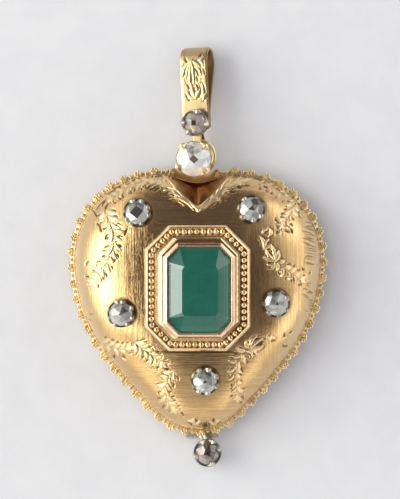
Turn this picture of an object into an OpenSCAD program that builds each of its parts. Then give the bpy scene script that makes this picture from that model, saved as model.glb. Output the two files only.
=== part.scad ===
// Gold heart pendant with an emerald and seven diamonds, lying on its back.
// +Z is up, +Y points to the bail, and the origin is on the flat of the back, under the emerald.

/* [Heart] */
// Width over the granulated border
heart_w = 30.1; // [29.8:0.1:30.4]
// Height of the widest place above the middle of the emerald
wide_y = 3.35; // [3:0.05:3.7]
// Radius of each lobe
lobe_r = 10.45; // [10.2:0.05:10.8]
// Radius of the flat arc that joins the two lobes
crown_r = 30; // [28:1:34]
// Radius of the side below the widest place
side_r = 19; // [18:0.5:20]
// Radius of the nearly straight flank above the tip
flank_r = 60; // [50:5:80]
// Depth of the notch between the lobes
notch = 1.4; // [1:0.1:1.6]
// Half the width of the notch
notch_half = 5; // [4.5:0.1:5.5]
// Height of the seam between front and back above the surface that the pendant lies on
seam_z = 2.7; // [2.5:0.1:2.9]
// Rise of the front dome above the seam
dome_h = 6.3; // [6:0.1:6.6]
// Thickness of the gold shells
shell = 0.45; // [0.4:0.05:0.5]
// Distance from the middle of the emerald to the point of the cleft
cleft_y = 9.26; // [9.1:0.02:9.5]

/* [Border] */
// Width of the border band
border_w = 0.85; // [0.8:0.05:0.9]
// Thickness of the border band
border_t = 0.8; // [0.7:0.05:0.9]
// Distance between clusters of grains
cluster_pitch = 1.9; // [1.7:0.1:2.3]
// Depth of the dents between clusters
cluster_dent = 0.32; // [0.2:0.02:0.4]

/* [Emerald] */
// Width of the octagonal frame
frame_w = 12.1; // [12:0.05:12.2]
// Length of the octagonal frame
frame_l = 14.4; // [14.3:0.05:14.5]
// Height of the frame's outer wall
frame_t = 1; // [0.9:0.05:1.1]
// Width of the collet that holds the emerald
bezel_w = 8.4; // [8.35:0.05:8.45]
// Length of that collet
bezel_l = 10.85; // [10.8:0.05:10.9]
// Height of that collet
bezel_t = 1.65; // [1.6:0.05:1.75]
// Width of the emerald
stone_w = 7.7; // [7.6:0.05:7.75]
// Length of the emerald
stone_l = 10.35; // [10.2:0.05:10.4]
// Distance of the emerald and its collet to the right of the frame's middle
emerald_right = 0.2; // [0:0.01:0.22]
// Distance of the emerald and its collet below the frame's middle
emerald_down = 0.2; // [0:0.01:0.22]

/* [Diamonds] */
// Radius of the five diamonds on the heart
small_r = 1.38; // [1.3:0.02:1.44]
// Radius of the diamond at the top
top_r = 2; // [1.9:0.02:2.02]
// Radius of the diamond on the bail
bail_stone_r = 1.32; // [1.2:0.02:1.36]
// Radius of the diamond under the tip
drop_r = 1.36; // [1.3:0.02:1.4]
// Share of the dome's slope that the five collets lean with
lean_share = 0.4; // [0.2:0.05:0.6]

/* [Bail] */
// Width of the bail strap
strap_w = 3.2; // [3:0.05:3.3]
// Thickness of the strap
strap_t = 0.36; // [0.34:0.01:0.38]
// Distance between the middles of the bail's lower eye and its upper bend
bail_l = 8.85; // [8.6:0.05:9]
// Outer radius of the upper bend
bend_r = 1.9; // [1.8:0.05:2]
// Inner radius of the lower eye
eye_r = 0.66; // [0.64:0.01:0.68]
// Twist of the lying bail about its length
bail_twist = 14; // [10:0.5:15]
// Sideways lean of the lying bail
bail_lean = 1.5; // [0:0.1:2]
// Radius of the ring that carries the bail, to the middle of its wire
ring_r = 1.75; // [1.7:0.01:1.8]
// Radius of the ring's wire
wire_r = 0.28; // [0.24:0.01:0.3]

/* [Hidden] */

round_fn = 48;
gap = 0.03;
over = 0.5;

// Outline: five arcs a side, each tangent to the next, from the top middle to the tip.
// An arc is found by the direction of its outward normal, 90 at the top and -90 at the tip.
function dir(a) = [cos(a), sin(a)];
function mix(a, b, s) = a + (b - a) * s;
side_end = -37;
flank_end = -46;
lobe_c = [heart_w / 2 - lobe_r, wide_y];
crown_end = acos(lobe_c.x / (crown_r - lobe_r));
crown_c = lobe_c + (lobe_r - crown_r) * dir(crown_end);
side_c = [heart_w / 2 - side_r, wide_y];
flank_c = side_c + (side_r - flank_r) * dir(side_end);
tip_r = flank_r + flank_c.x / cos(flank_end);
tip_c = flank_c + (flank_r - tip_r) * dir(flank_end);

// Columns: centre, radius, first and last direction of the normal, stations of the dome's mesh
ARCS = [
    [crown_c, crown_r, 90, crown_end, 9],
    [lobe_c, lobe_r, crown_end, 0, 15],
    [side_c, side_r, 0, side_end, 10],
    [flank_c, flank_r, side_end, flank_end, 6],
    [tip_c, tip_r, flank_end, -90, 7]
];

// Point of an arc at a share s of its sweep, moved inwards
function arc_point(arc, s, inset) = arc[0] + (arc[1] - inset) * dir(mix(arc[2], arc[3], s));
function right_half(inset) = concat(
    [for (arc = ARCS) for (k = [0 : arc[4] - 1]) arc_point(arc, k / arc[4], inset)],
    [arc_point(ARCS[4], 1, inset)]
);
// A half outline from the top middle to the tip, mirrored and closed anticlockwise
function closed(half) = concat(
    [for (p = half) [-p.x, p.y]],
    [for (i = [len(half) - 2 : -1 : 1]) half[i]]
);
// The notch between the lobes lowers the outline along half a cosine wave
function notched(p) = p.y < 0 ? p
    : [p.x, p.y - notch * (1 + cos(180 * min(abs(p.x) / notch_half, 1))) / 2];
function notched_all(points) = [for (p = points) notched(p)];

// Dome: its height depends on t, the distance from the middle as a share of the outline's distance
front_inset = border_w + gap;
function dome_rise(t) = sqrt(max(0, 1 - pow(t, 4)));
seat_t = 0.44;
hole_t = 0.31;
edge_t = 0.95;
seat_z = seam_z + dome_h * dome_rise(seat_t);

// Distance from the middle to the outline along the direction of p
function reach(p, inset) = let (
    d = [abs(p.x), p.y] / norm(p),
    hits = [for (arc = ARCS) let (
        b = arc[0] * d,
        far = b + sqrt(max(0, b * b - arc[0] * arc[0] + pow(arc[1] - inset, 2))),
        out = far * d - arc[0],
        a = atan2(out.y, out.x)
    ) if (a <= arc[2] + 0.01 && a >= arc[3] - 0.01) far]
) hits[0];
function dome_z(p) = seam_z + dome_h * dome_rise(norm(p) / reach(p, front_inset));

// Cleft: two straight folds from its point outwards, and a hollow wall from them down to the seam
cleft_slope = 1.08;
cleft_fall = 1.5;
cleft_wall = 0.75;
function fold_t(p, point_y) = p.y <= cleft_slope * abs(p.x) + 0.01 ? edge_t
    : min(edge_t, point_y / (p.y - cleft_slope * abs(p.x)));

// Rings of the front shell: shares of the way from the seat to the fold, then from fold to rim
INNER_STEPS = [0.18, 0.38, 0.58, 0.76, 0.9, 1];
RIM_STEPS = [0.25, 0.5, 0.75, 1];
function fold_ring(outline, s, h, point_y) = [for (p = outline) let (
    t = mix(seat_t, fold_t(p, point_y), s)
) [p.x * t, p.y * t, seam_z + h * dome_rise(t)]];
function rim_ring(outline, v, h, point_y) = [for (p = outline) let (
    t0 = fold_t(p, point_y),
    low_t = point_y / outline[0].y,
    cleft = (edge_t - t0) / (edge_t - low_t),
    lip = dome_rise(mix(edge_t, 1, v)) / dome_rise(edge_t),
    wall = pow(1 - v, cleft_fall),
    flat = mix([p.x * t0, p.y * t0], notched(p), v)
) [flat.x, flat.y, seam_z + h * dome_rise(t0) * mix(lip, wall, cleft)]];
function flat_ring(outline, t, z) = [for (p = outline) [p.x * t, p.y * t, z]];
function front_rings(inset, h, point_y) = let (outline = closed(right_half(inset))) concat(
    [flat_ring(outline, hole_t, seam_z + h * dome_rise(seat_t))],
    [flat_ring(outline, seat_t, seam_z + h * dome_rise(seat_t))],
    [for (s = INNER_STEPS) fold_ring(outline, s, h, point_y)],
    [for (v = RIM_STEPS) rim_ring(outline, v, h, point_y)]
);

// Back: a flat middle, then a quarter of an ellipse up to the seam
flat_t = 0.55;
BACK_STEPS = [0.15, 0.35, 0.6, 0.82, 0.95, 1];
function back_ring(outline, u, low) = [for (p = outline) let (
    t = mix(flat_t, 1, u),
    q = mix(p, notched(p), pow(u, 3))
) [q.x * t, q.y * t, mix(seam_z, low, sqrt(1 - u * u))]];

function flip(list) = [for (i = [len(list) - 1 : -1 : 0]) list[i]];
function joined(lists) = [for (l = lists) for (p = l) p];
// Two triangles for each cell between ring a and ring b of n points
function strip(a, b, n) = [for (i = [0 : n - 1]) let (j = (i + 1) % n)
    each [[a * n + i, b * n + i, b * n + j], [a * n + i, b * n + j, a * n + j]]];

// Rings that follow each other round the wall of a shell with a hole, the last joined to the first
module hoop(rings) {
    n = len(rings[0]);
    m = len(rings);
    polyhedron(joined(rings), [for (k = [0 : m - 1]) each strip(k, (k + 1) % m, n)], convexity = 6);
}

// Rings from underneath upwards, closed with a flat face at both ends; those of a bowl turn over
// its rim and end at its inner floor
module bowl(rings) {
    n = len(rings[0]);
    m = len(rings);
    polyhedron(
        joined(rings),
        concat(
            [[for (i = [0 : n - 1]) i]],
            [for (k = [0 : m - 2]) each strip(k, k + 1, n)],
            [[for (i = [n - 1 : -1 : 0]) (m - 1) * n + i]]
        ),
        convexity = 6
    );
}

drill_l = 5;
module heart_front() {
    color("goldenrod") difference() {
        hoop(concat(
            flip(front_rings(front_inset, dome_h, cleft_y)),
            front_rings(front_inset + shell, dome_h - shell, cleft_y - cleft_wall)
        ));
        for (row = SMALL_STONES) on_dome(row)
            cylinder(h = drill_l, r = collet_out(small_r) + gap, center = true, $fn = round_fn);
    }
}

// The bowl starts a little under the surface it lies on, where a block cuts it flat
back_under = 0.2;
back_under_t = 0.53;
module heart_back() {
    outer = closed(right_half(front_inset));
    inner = closed(right_half(front_inset + shell));
    color("goldenrod") intersection() {
        bowl(concat(
            [flat_ring(outer, back_under_t, -back_under)],
            [flat_ring(outer, flat_t, 0)],
            [for (u = BACK_STEPS) back_ring(outer, u, 0)],
            [for (u = flip(BACK_STEPS)) back_ring(inner, u, shell)],
            [flat_ring(inner, flat_t, shell)]
        ));
        translate([-heart_w, -heart_w, 0]) cube([2 * heart_w, 2 * heart_w, seam_z]);
    }
}

// Outer edge of the border: whole clusters on each arc, with a cosine dent between them
cells = 6;
function clusters(arc) = max(1, round(arc[1] * abs(arc[2] - arc[3]) * PI / 180 / cluster_pitch));
function dented_half() = concat(
    [for (arc = ARCS) let (n = clusters(arc) * cells) for (k = [0 : n - 1])
        arc_point(arc, k / n, cluster_dent * (1 - cos(360 * k / cells)) / 2)],
    [arc_point(ARCS[4], 1, 0)]
);

module rim_border() {
    color("gold") translate([0, 0, seam_z - border_t / 2]) linear_extrude(border_t) difference() {
        polygon(notched_all(closed(dented_half())));
        polygon(notched_all(closed(right_half(border_w))));
    }
}

// Octagon of a step cut: a rectangle whose corners are cut at 45 degrees
function octagon_points(w, l, c) = [
    [w / 2 - c, -l / 2], [w / 2, c - l / 2], [w / 2, l / 2 - c], [w / 2 - c, l / 2],
    [c - w / 2, l / 2], [-w / 2, l / 2 - c], [-w / 2, c - l / 2], [c - w / 2, -l / 2]
];
frame_cut = 2.75;
module octagon(w, l, c) polygon(octagon_points(w, l, c));
// The frame's outline moved inwards by the same distance on all eight sides
module frame_outline(inset) {
    octagon(frame_w - 2 * inset, frame_l - 2 * inset, frame_cut - inset * (2 - sqrt(2)));
}
module frame_band(from, to) {
    difference() {
        frame_outline(from);
        frame_outline(to);
    }
}

// Channels cut in the frame's top. Columns: outer and inner edge from the frame's side, floor height
CHANNELS = [
    [0.35, 0.52, 0.55],
    [0.94, 1.1, 0.55],
    [0.52, 0.94, 0.9],
    [1.1, 1.5, 0.8],
    [1.5, 2.1, 0.35]
];
bezel_cut = 1.6;
emerald_at = [emerald_right, -emerald_down, 0];
module emerald_frame() {
    color("goldenrod") translate([0, 0, seat_z + gap]) difference() {
        linear_extrude(frame_t) difference() {
            frame_outline(0);
            translate(emerald_at) octagon(bezel_w + 2 * gap, bezel_l + 2 * gap, bezel_cut);
        }
        for (row = CHANNELS) translate([0, 0, row[2]])
            linear_extrude(frame_t) frame_band(row[0], row[1]);
    }
}

// Emerald sections, from below. Columns: height over the girdle, width, length, corner cut
girdle_z = seat_z + 1;
stone_cut = 1.4;
EMERALD = [
    [-2.7, 0.5, 2.4, 0.1],
    [-2.1, 2.4, 4.6, 0.55],
    [-1.1, 5, 7.3, 1],
    [-0.1, stone_w, stone_l, stone_cut],
    [0.1, stone_w, stone_l, stone_cut],
    [1.05, 4.1, 5.9, 0.75]
];
lip_w = 7.24;
lip_l = 9.9;
lip_cut = 1.22;
lip_z = 0.32;
module emerald_collet() {
    color("peru") translate(emerald_at + [0, 0, seat_z + gap]) difference() {
        linear_extrude(bezel_t) octagon(bezel_w, bezel_l, bezel_cut);
        translate([0, 0, -over]) linear_extrude(girdle_z + lip_z - seat_z - gap + over)
            octagon(stone_w + 2 * gap, stone_l + 2 * gap, stone_cut);
        linear_extrude(bezel_t + over) octagon(lip_w, lip_l, lip_cut);
    }
}

module emerald() {
    color("seagreen") translate(emerald_at) bowl([for (row = EMERALD)
        [for (p = octagon_points(row[1], row[2], row[3])) [p.x, p.y, girdle_z + row[0]]]
    ]);
}

// Rose cut: twelve corners at the girdle, six half way up and one on top
girdle_h = 0.12;
rose_waist = 0.6;
rose_waist_h = 0.72;
function around(n, r, z, turn) = [for (k = [0 : n - 1]) let (d = dir(360 * k / n + turn))
    [r * d.x, r * d.y, z]];
module rose_cut(r, h) {
    points = concat(
        around(12, r, 0, 0),
        around(12, r, girdle_h, 0),
        around(6, rose_waist * r, rose_waist_h * h, 30),
        [[0, 0, h]]
    );
    crown = [for (k = [0 : 5]) let (j = (k + 1) % 6, a = 12 + 2 * k, c = 12 + (2 * k + 2) % 12)
        each [[a, 24 + k, a + 1], [a + 1, 24 + k, c], [c, 24 + k, 24 + j], [24 + k, 30, 24 + j]]];
    color("aliceblue") polyhedron(
        points,
        concat([[for (i = [0 : 11]) i]], strip(0, 1, 12), crown)
    );
}

// Collets: a tube with a floor that the stone lies on, and upright claws with pointed tips
collet_wall = 0.22;
floor_t = 0.3;
claw_tip = 0.12;
function collet_out(r) = r + gap + collet_wall;
// Claws. Columns: number, radius, height of the shoulder, turn of the first one
SMALL_CLAWS = [8, 0.16, 0.95, 22.5];
BAIL_CLAWS = [4, 0.24, 0.95, 45];
DROP_CLAWS = [5, 0.2, 1.55, 100];
module claw(r, h) {
    cylinder(h = h, r = r, $fn = round_fn);
    translate([0, 0, h]) cylinder(h = claw_tip, r1 = r, r2 = r / 2, $fn = round_fn);
}
module collet(r, skirt, seat, rim, claws) {
    inside = r + gap;
    rotate_extrude($fn = round_fn) polygon([
        [0, seat - floor_t], [inside, seat - floor_t], [inside, -skirt], [collet_out(r), -skirt],
        [collet_out(r), rim], [inside, rim], [inside, seat], [0, seat]
    ]);
    for (k = [0 : claws[0] - 1]) rotate([0, 0, claws[3] + 360 * k / claws[0]])
        translate([inside + claws[1] + gap, 0, seat]) claw(claws[1], claws[2] - seat);
}

// The five diamonds on the heart. Columns: place in X and Y
SMALL_STONES = [
    [-6.9, 8.57],
    [6.15, 8.97],
    [-8.7, -2.9],
    [8.96, -1.75],
    [0.85, -10.6]
];
probe = 0.05;
// Puts its children upright on the dome, leaning outwards by a share of the slope there
module on_dome(row) {
    slope_x = (dome_z(row + [probe, 0]) - dome_z(row - [probe, 0])) / (2 * probe);
    slope_y = (dome_z(row + [0, probe]) - dome_z(row - [0, probe])) / (2 * probe);
    steep = norm([slope_x, slope_y]);
    translate([row.x, row.y, dome_z(row)])
        rotate(a = lean_share * atan(steep), v = [slope_y, -slope_x, 0] / steep)
            children();
}
small_skirt = 1.3;
small_seat = 0.55;
small_rim = 0.78;
small_h = 0.85;
module body_collet(i) {
    color("silver") on_dome(SMALL_STONES[i])
        collet(small_r, small_skirt, small_seat, small_rim, SMALL_CLAWS);
}
module body_diamond(i) {
    on_dome(SMALL_STONES[i]) translate([0, 0, small_seat + gap]) rose_cut(small_r, small_h);
}

// Ring in the notch, and the top collet that stands on a post soldered to its near side
ring_foot_y = 13.1;
ring_at = [0.2, ring_foot_y + ring_r + wire_r];
top_at = [-0.43, 14.8];
post_r = 0.42;
post_h = 1.9;
cup_low = seam_z + 1.25;
cup_high = seam_z + 2.7;
cup_foot = 0.9;
top_seat = cup_high - 0.2;
top_h = 1.25;
TOP_CLAWS = [48, 132, 205, 318];
top_claw_r = 0.2;
top_claw_low = cup_high - 0.4;
top_claw_h = 0.65;
module top_setting() {
    color("gold") union() {
        translate([ring_at.x, ring_at.y, seam_z])
            rotate_extrude($fn = round_fn) translate([ring_r, 0]) circle(r = wire_r, $fn = round_fn);
        translate([ring_at.x, ring_at.y - ring_r, seam_z])
            cylinder(h = post_h, r = post_r, $fn = round_fn);
        translate([top_at.x, top_at.y, 0]) {
            rotate_extrude($fn = round_fn) polygon([
                [0, cup_low], [cup_foot, cup_low], [collet_out(top_r), cup_high],
                [top_r + gap, cup_high], [top_r + gap, top_seat], [0, top_seat]
            ]);
            for (a = TOP_CLAWS) rotate([0, 0, a])
                translate([top_r + 2 * gap + top_claw_r, 0, top_claw_low]) claw(top_claw_r, top_claw_h);
        }
    }
}
module top_diamond() translate([top_at.x, top_at.y, top_seat + gap]) rose_cut(top_r, top_h);

// Bail: the side view of a strap that runs round a small eye and a wide bend
eye_out = eye_r + strap_t;
eye_at = [ring_at.x, ring_at.y + ring_r, seam_z];
strap_rise = asin((bend_r - eye_out) / bail_l);
bail_drop = asin((seam_z - bend_r * cos(bail_twist) - strap_w / 2 * sin(bail_twist) - gap) / bail_l);
tongue_w = 1;
tongue_l = 1.3;
// Solid across the strap: two cylinders and the block between them, whose flat sides lie a
// hair inside the lines that touch both
hair = 0.01;
module drop_shape(r1, r2, w) {
    n = [-sin(strap_rise), cos(strap_rise)];
    a = (r1 - hair) * n;
    b = (r2 - hair) * n;
    rotate([90, 0, 90]) {
        cylinder(h = w, r = r1, center = true, $fn = round_fn);
        translate([bail_l, 0, 0]) cylinder(h = w, r = r2, center = true, $fn = round_fn);
        linear_extrude(w, center = true)
            polygon([a, [bail_l + b.x, b.y], [bail_l + b.x, -b.y], [a.x, -a.y]]);
    }
}
module at_bail() {
    translate(eye_at) rotate([-bail_drop, 0, bail_lean]) rotate([0, -bail_twist, 0]) children();
}
module bail() {
    color("khaki") at_bail() difference() {
        drop_shape(eye_out, bend_r, strap_w);
        drop_shape(eye_r, bend_r - strap_t, strap_w + over);
        for (side = [-1, 1]) translate([side * (tongue_w + strap_w) / 2, 0, 0])
            cube([strap_w, 2 * tongue_l, 3 * eye_out], center = true);
    }
}

// Places its children on the front of the strap, at a distance from the eye's middle
bail_stone_y = 2.2;
module on_strap() {
    at_bail() rotate([strap_rise, 0, 0]) translate([0, bail_stone_y, eye_out + gap]) children();
}
bail_seat = 0.5;
bail_rim = 0.75;
bail_stone_h = 0.8;
module bail_collet() color("silver") on_strap() collet(bail_stone_r, 0, bail_seat, bail_rim, BAIL_CLAWS);
module bail_diamond() on_strap() translate([0, 0, bail_seat + gap]) rose_cut(bail_stone_r, bail_stone_h);

// Drop: leaves under the tip of the heart, the middle one soldered to the collet below it.
// Columns: foot in X and Y, direction, length, width
LEAVES = [
    [0.8, -16.55, 193, 2.4, 1],
    [0.1, -16.6, -11, 2.4, 1],
    [0.25, -16.1, -68, 1.9, 1.2]
];
drop_at = [1.15, -18.95];
leaf_t = 0.45;
leaf_top = seam_z - border_t / 2 - gap;
// Leaf from the origin along +X, as wide as a half sine wave
leaf_steps = 6;
module leaf(l, w) {
    polygon([for (k = [0 : 2 * leaf_steps - 1]) let (s = k / leaf_steps)
        [l * (s <= 1 ? s : 2 - s), -w / 2 * sin(180 * s)]
    ]);
}
drop_foot = 1.7;
drop_seat = 1.15;
drop_rim = 1.35;
drop_h = 0.85;
module drop_setting() {
    color("silver") union() {
        for (row = LEAVES) translate([row.x, row.y, leaf_top - leaf_t]) rotate(row[2])
            linear_extrude(leaf_t) leaf(row[3], row[4]);
        translate([drop_at.x, drop_at.y, drop_foot])
            collet(drop_r, 0, drop_seat, drop_rim, DROP_CLAWS);
    }
}
module drop_diamond() {
    translate([drop_at.x, drop_at.y, drop_foot + drop_seat + gap]) rose_cut(drop_r, drop_h);
}

heart_front();
heart_back();
rim_border();
emerald_frame();
emerald_collet();
emerald();
body_collet(0);  // collet_upper_left
body_collet(1);  // collet_upper_right
body_collet(2);  // collet_left
body_collet(3);  // collet_right
body_collet(4);  // collet_lower
body_diamond(0);  // diamond_upper_left
body_diamond(1);  // diamond_upper_right
body_diamond(2);  // diamond_left
body_diamond(3);  // diamond_right
body_diamond(4);  // diamond_lower
top_setting();
top_diamond();
bail();
bail_collet();
bail_diamond();
drop_setting();
drop_diamond();
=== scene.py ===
# %% [markdown]
# # A puffed gold heart with an emerald
#
# This notebook dresses a jewel whose sizes and joint are already settled. The frame holds every
# piece of it as a plain solid, and each cell below takes one piece, says what it is on the real
# jewel, and works its surface out as numbers: a grid of points that follows a rule, turned into a
# mesh. The front faces up (+Z), the bail is towards +Y, and the jewel lies on its back.

# %% Load the frame
import math

import bmesh
import bpy
import numpy as np
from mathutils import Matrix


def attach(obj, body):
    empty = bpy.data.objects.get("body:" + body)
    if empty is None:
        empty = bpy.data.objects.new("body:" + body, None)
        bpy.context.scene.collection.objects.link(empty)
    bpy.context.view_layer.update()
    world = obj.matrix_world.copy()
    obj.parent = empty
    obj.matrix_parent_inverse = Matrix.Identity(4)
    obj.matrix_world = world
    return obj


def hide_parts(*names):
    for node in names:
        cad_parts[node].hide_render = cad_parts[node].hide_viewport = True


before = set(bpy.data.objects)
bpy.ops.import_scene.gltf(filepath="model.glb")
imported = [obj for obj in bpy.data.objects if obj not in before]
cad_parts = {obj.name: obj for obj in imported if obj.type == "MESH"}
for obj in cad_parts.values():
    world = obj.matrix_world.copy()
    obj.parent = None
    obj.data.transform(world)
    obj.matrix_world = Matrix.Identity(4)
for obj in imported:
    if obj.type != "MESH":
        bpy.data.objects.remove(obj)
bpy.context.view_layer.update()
print("pieces in the frame:", len(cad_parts))

# %% [markdown]
# ## From numbers to meshes
#
# All shapes are worked out in millimetres, because that is how a goldsmith thinks of them, and
# are made metres at the very end. A shape is a pair: an array of points, and a list of arrays of
# corner numbers. Grids could be drawn with Blender's own primitives and modifiers, but a formula
# says exactly where each point lies and can be changed by one number.

# %% Grids and shapes
MM = 0.001
TURN = 2 * math.pi


def grid_faces(rows, columns, round_rows=False, round_columns=True):
    """Corner numbers of the quads between neighbouring rows and columns. A round direction also
    joins its last line of points to its first."""
    r, c = np.meshgrid(
        np.arange(rows if round_rows else rows - 1),
        np.arange(columns if round_columns else columns - 1),
        indexing="ij",
    )
    r_next, c_next = (r + 1) % rows, (c + 1) % columns
    corners = [r * columns + c, r * columns + c_next,
               r_next * columns + c_next, r_next * columns + c]
    return np.stack(corners, axis=-1).reshape(-1, 4)


def grid_shape(points, round_rows=False, capped=False):
    """A shape from points[row, column, xyz] whose columns run round. Caps close both ends with one
    flat face each."""
    rows, columns = points.shape[:2]
    faces = [grid_faces(rows, columns, round_rows)]
    if capped:
        first = np.arange(columns)
        faces += [first[None, ::-1], first[None, :] + (rows - 1) * columns]
    return points.reshape(-1, 3), faces


def joined(shapes):
    """One shape from several: the points are stacked, and each shape's corner numbers are moved on
    by the number of points before it."""
    points, faces, count = [], [], 0
    for shape_points, shape_faces in shapes:
        points.append(shape_points)
        faces += [f + count for f in shape_faces]
        count += len(shape_points)
    return np.concatenate(points), faces


def repeated(shape, places):
    """The same small shape at every place. A place is a 4 by 4 matrix: point = matrix x point."""
    points, faces = shape
    wide = np.c_[points, np.ones(len(points))]
    moved = np.einsum("nij,pj->npi", places, wide)[..., :3]
    steps = np.arange(len(places)) * len(points)
    many = [(f[None] + steps[:, None, None]).reshape(-1, f.shape[1]) for f in faces]
    return moved.reshape(-1, 3), many


def outward(shape):
    """The same shape with its faces pointing out: the signed volume, a sum of the tetrahedra from
    the origin to each triangle of a face, comes out positive."""
    points, faces = shape
    volume = 0.0
    for f in faces:
        for k in range(1, f.shape[1] - 1):
            a, b, c = points[f[:, 0]], points[f[:, k]], points[f[:, k + 1]]
            volume += np.einsum("ij,ij->i", a, np.cross(b, c)).sum()
    return shape if volume > 0 else (points, [f[:, ::-1] for f in faces])


def placed(shape, matrix):
    """The shape moved by one 4 by 4 matrix."""
    points, faces = shape
    return points @ matrix[:3, :3].T + matrix[:3, 3], faces


# %% [markdown]
# Places on the jewel are 4 by 4 matrices too. Two of them, a shift and a turn, are enough to lean
# and seat a shape the way a hand would, and a product of several is one place.

# %% Matrices
def shift(x, y, z):
    """Moves by x, y and z."""
    matrix = np.eye(4)
    matrix[:3, 3] = x, y, z
    return matrix


def turn(axis, degrees):
    """Turns about a row axis by the right-hand rule."""
    c, s = math.cos(math.radians(degrees)), math.sin(math.radians(degrees))
    matrix = np.eye(4)
    i, j = {"x": (1, 2), "y": (2, 0), "z": (0, 1)}[axis]
    matrix[i, i], matrix[i, j], matrix[j, i], matrix[j, j] = c, -s, s, c
    return matrix


def direction(degrees):
    """Unit vectors in the plane, one for each angle."""
    a = np.radians(degrees)
    return np.stack([np.cos(a), np.sin(a)], axis=-1)


def mix(a, b, share):
    """a where share is 0, b where it is 1, and a straight blend between."""
    return a + (b - a) * share


def smooth(x, low, high):
    """0 below low, 1 above high, and the curve 3t^2 - 2t^3 between."""
    t = np.clip((x - low) / (high - low), 0, 1)
    return t * t * (3 - 2 * t)


# %% [markdown]
# The last helper makes the Blender object. It fills the mesh from whole arrays, smooths it but
# keeps edges sharper than a given angle, and stores extra numbers of the points, such as how deep a
# cut is, as attributes that the materials read.

# %% Objects
def make(name, shape, material, body="heart", nodes=(), slot=None, crease=32, **values):
    """A finished piece at the origin. crease is the angle in degrees from which an edge stays
    sharp, 0 for flat facets. values are numbers for each point, stored under their names."""
    points, faces = outward(shape)
    mesh = bpy.data.meshes.new(name)
    sizes = np.concatenate([np.full(len(f), f.shape[1]) for f in faces])
    corners = np.concatenate([f.reshape(-1) for f in faces])
    mesh.vertices.add(len(points))
    mesh.vertices.foreach_set("co", (points * MM).astype(np.float32).reshape(-1))
    mesh.loops.add(len(corners))
    mesh.loops.foreach_set("vertex_index", corners.astype(np.int32))
    mesh.polygons.add(len(sizes))
    mesh.polygons.foreach_set("loop_start", np.r_[0, np.cumsum(sizes)[:-1]].astype(np.int32))
    mesh.polygons.foreach_set("use_smooth", np.full(len(sizes), crease > 0))
    mesh.update(calc_edges=True)
    for value, numbers in values.items():
        attribute = mesh.attributes.new(value, "FLOAT", "POINT")
        attribute.data.foreach_set("value", np.asarray(numbers, np.float32))
    mesh.validate()
    if crease > 0:
        mesh.set_sharp_from_angle(angle=math.radians(crease))
    mesh.materials.append(material)
    piece = bpy.data.objects.new(name, mesh)
    bpy.context.scene.collection.objects.link(piece)
    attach(piece, body)
    if nodes:
        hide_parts(*nodes)
    print(f"{name}: {int((sizes - 2).sum())} triangles")


# %% [markdown]
# ## Shader arithmetic
#
# A material is a small sum: noise times a mask, plus a wear term, and so on. Wired by hand that is
# a wall of Math nodes, so a class wraps a socket and lets Python's own signs add the nodes.

# %% Shader maths
class Value:
    """A number that varies over a surface, with arithmetic that adds Math nodes."""

    def __init__(self, maker, socket):
        self.maker = maker
        self.socket = socket

    def math(self, operation, *inputs):
        """One Math node over the inputs."""
        node = self.maker.node("ShaderNodeMath", {"operation": operation}, dict(enumerate(inputs)))
        return Value(self.maker, node.outputs[0])

    def __add__(self, other):
        return self.math("ADD", self, other)

    def __sub__(self, other):
        return self.math("SUBTRACT", self, other)

    def __mul__(self, other):
        return self.math("MULTIPLY", self, other)

    def __rsub__(self, other):
        return self.math("SUBTRACT", other, self)

    __radd__ = __add__
    __rmul__ = __mul__

    def unsigned(self):
        """The number without its sign."""
        return self.math("ABSOLUTE", self)

    def clipped(self, low, high):
        """0 below low, 1 above high, smooth between."""
        settings = {"interpolation_type": "SMOOTHSTEP", "clamp": True}
        inputs = {"Value": self, "From Min": low, "From Max": high}
        node = self.maker.node("ShaderNodeMapRange", settings, inputs)
        return Value(self.maker, node.outputs["Result"])

    def band(self, rise, fall):
        """1 between the rise and the fall, 0 outside. Each is a pair: where it begins and ends."""
        return self.clipped(*rise) * (1 - self.clipped(*fall))


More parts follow.
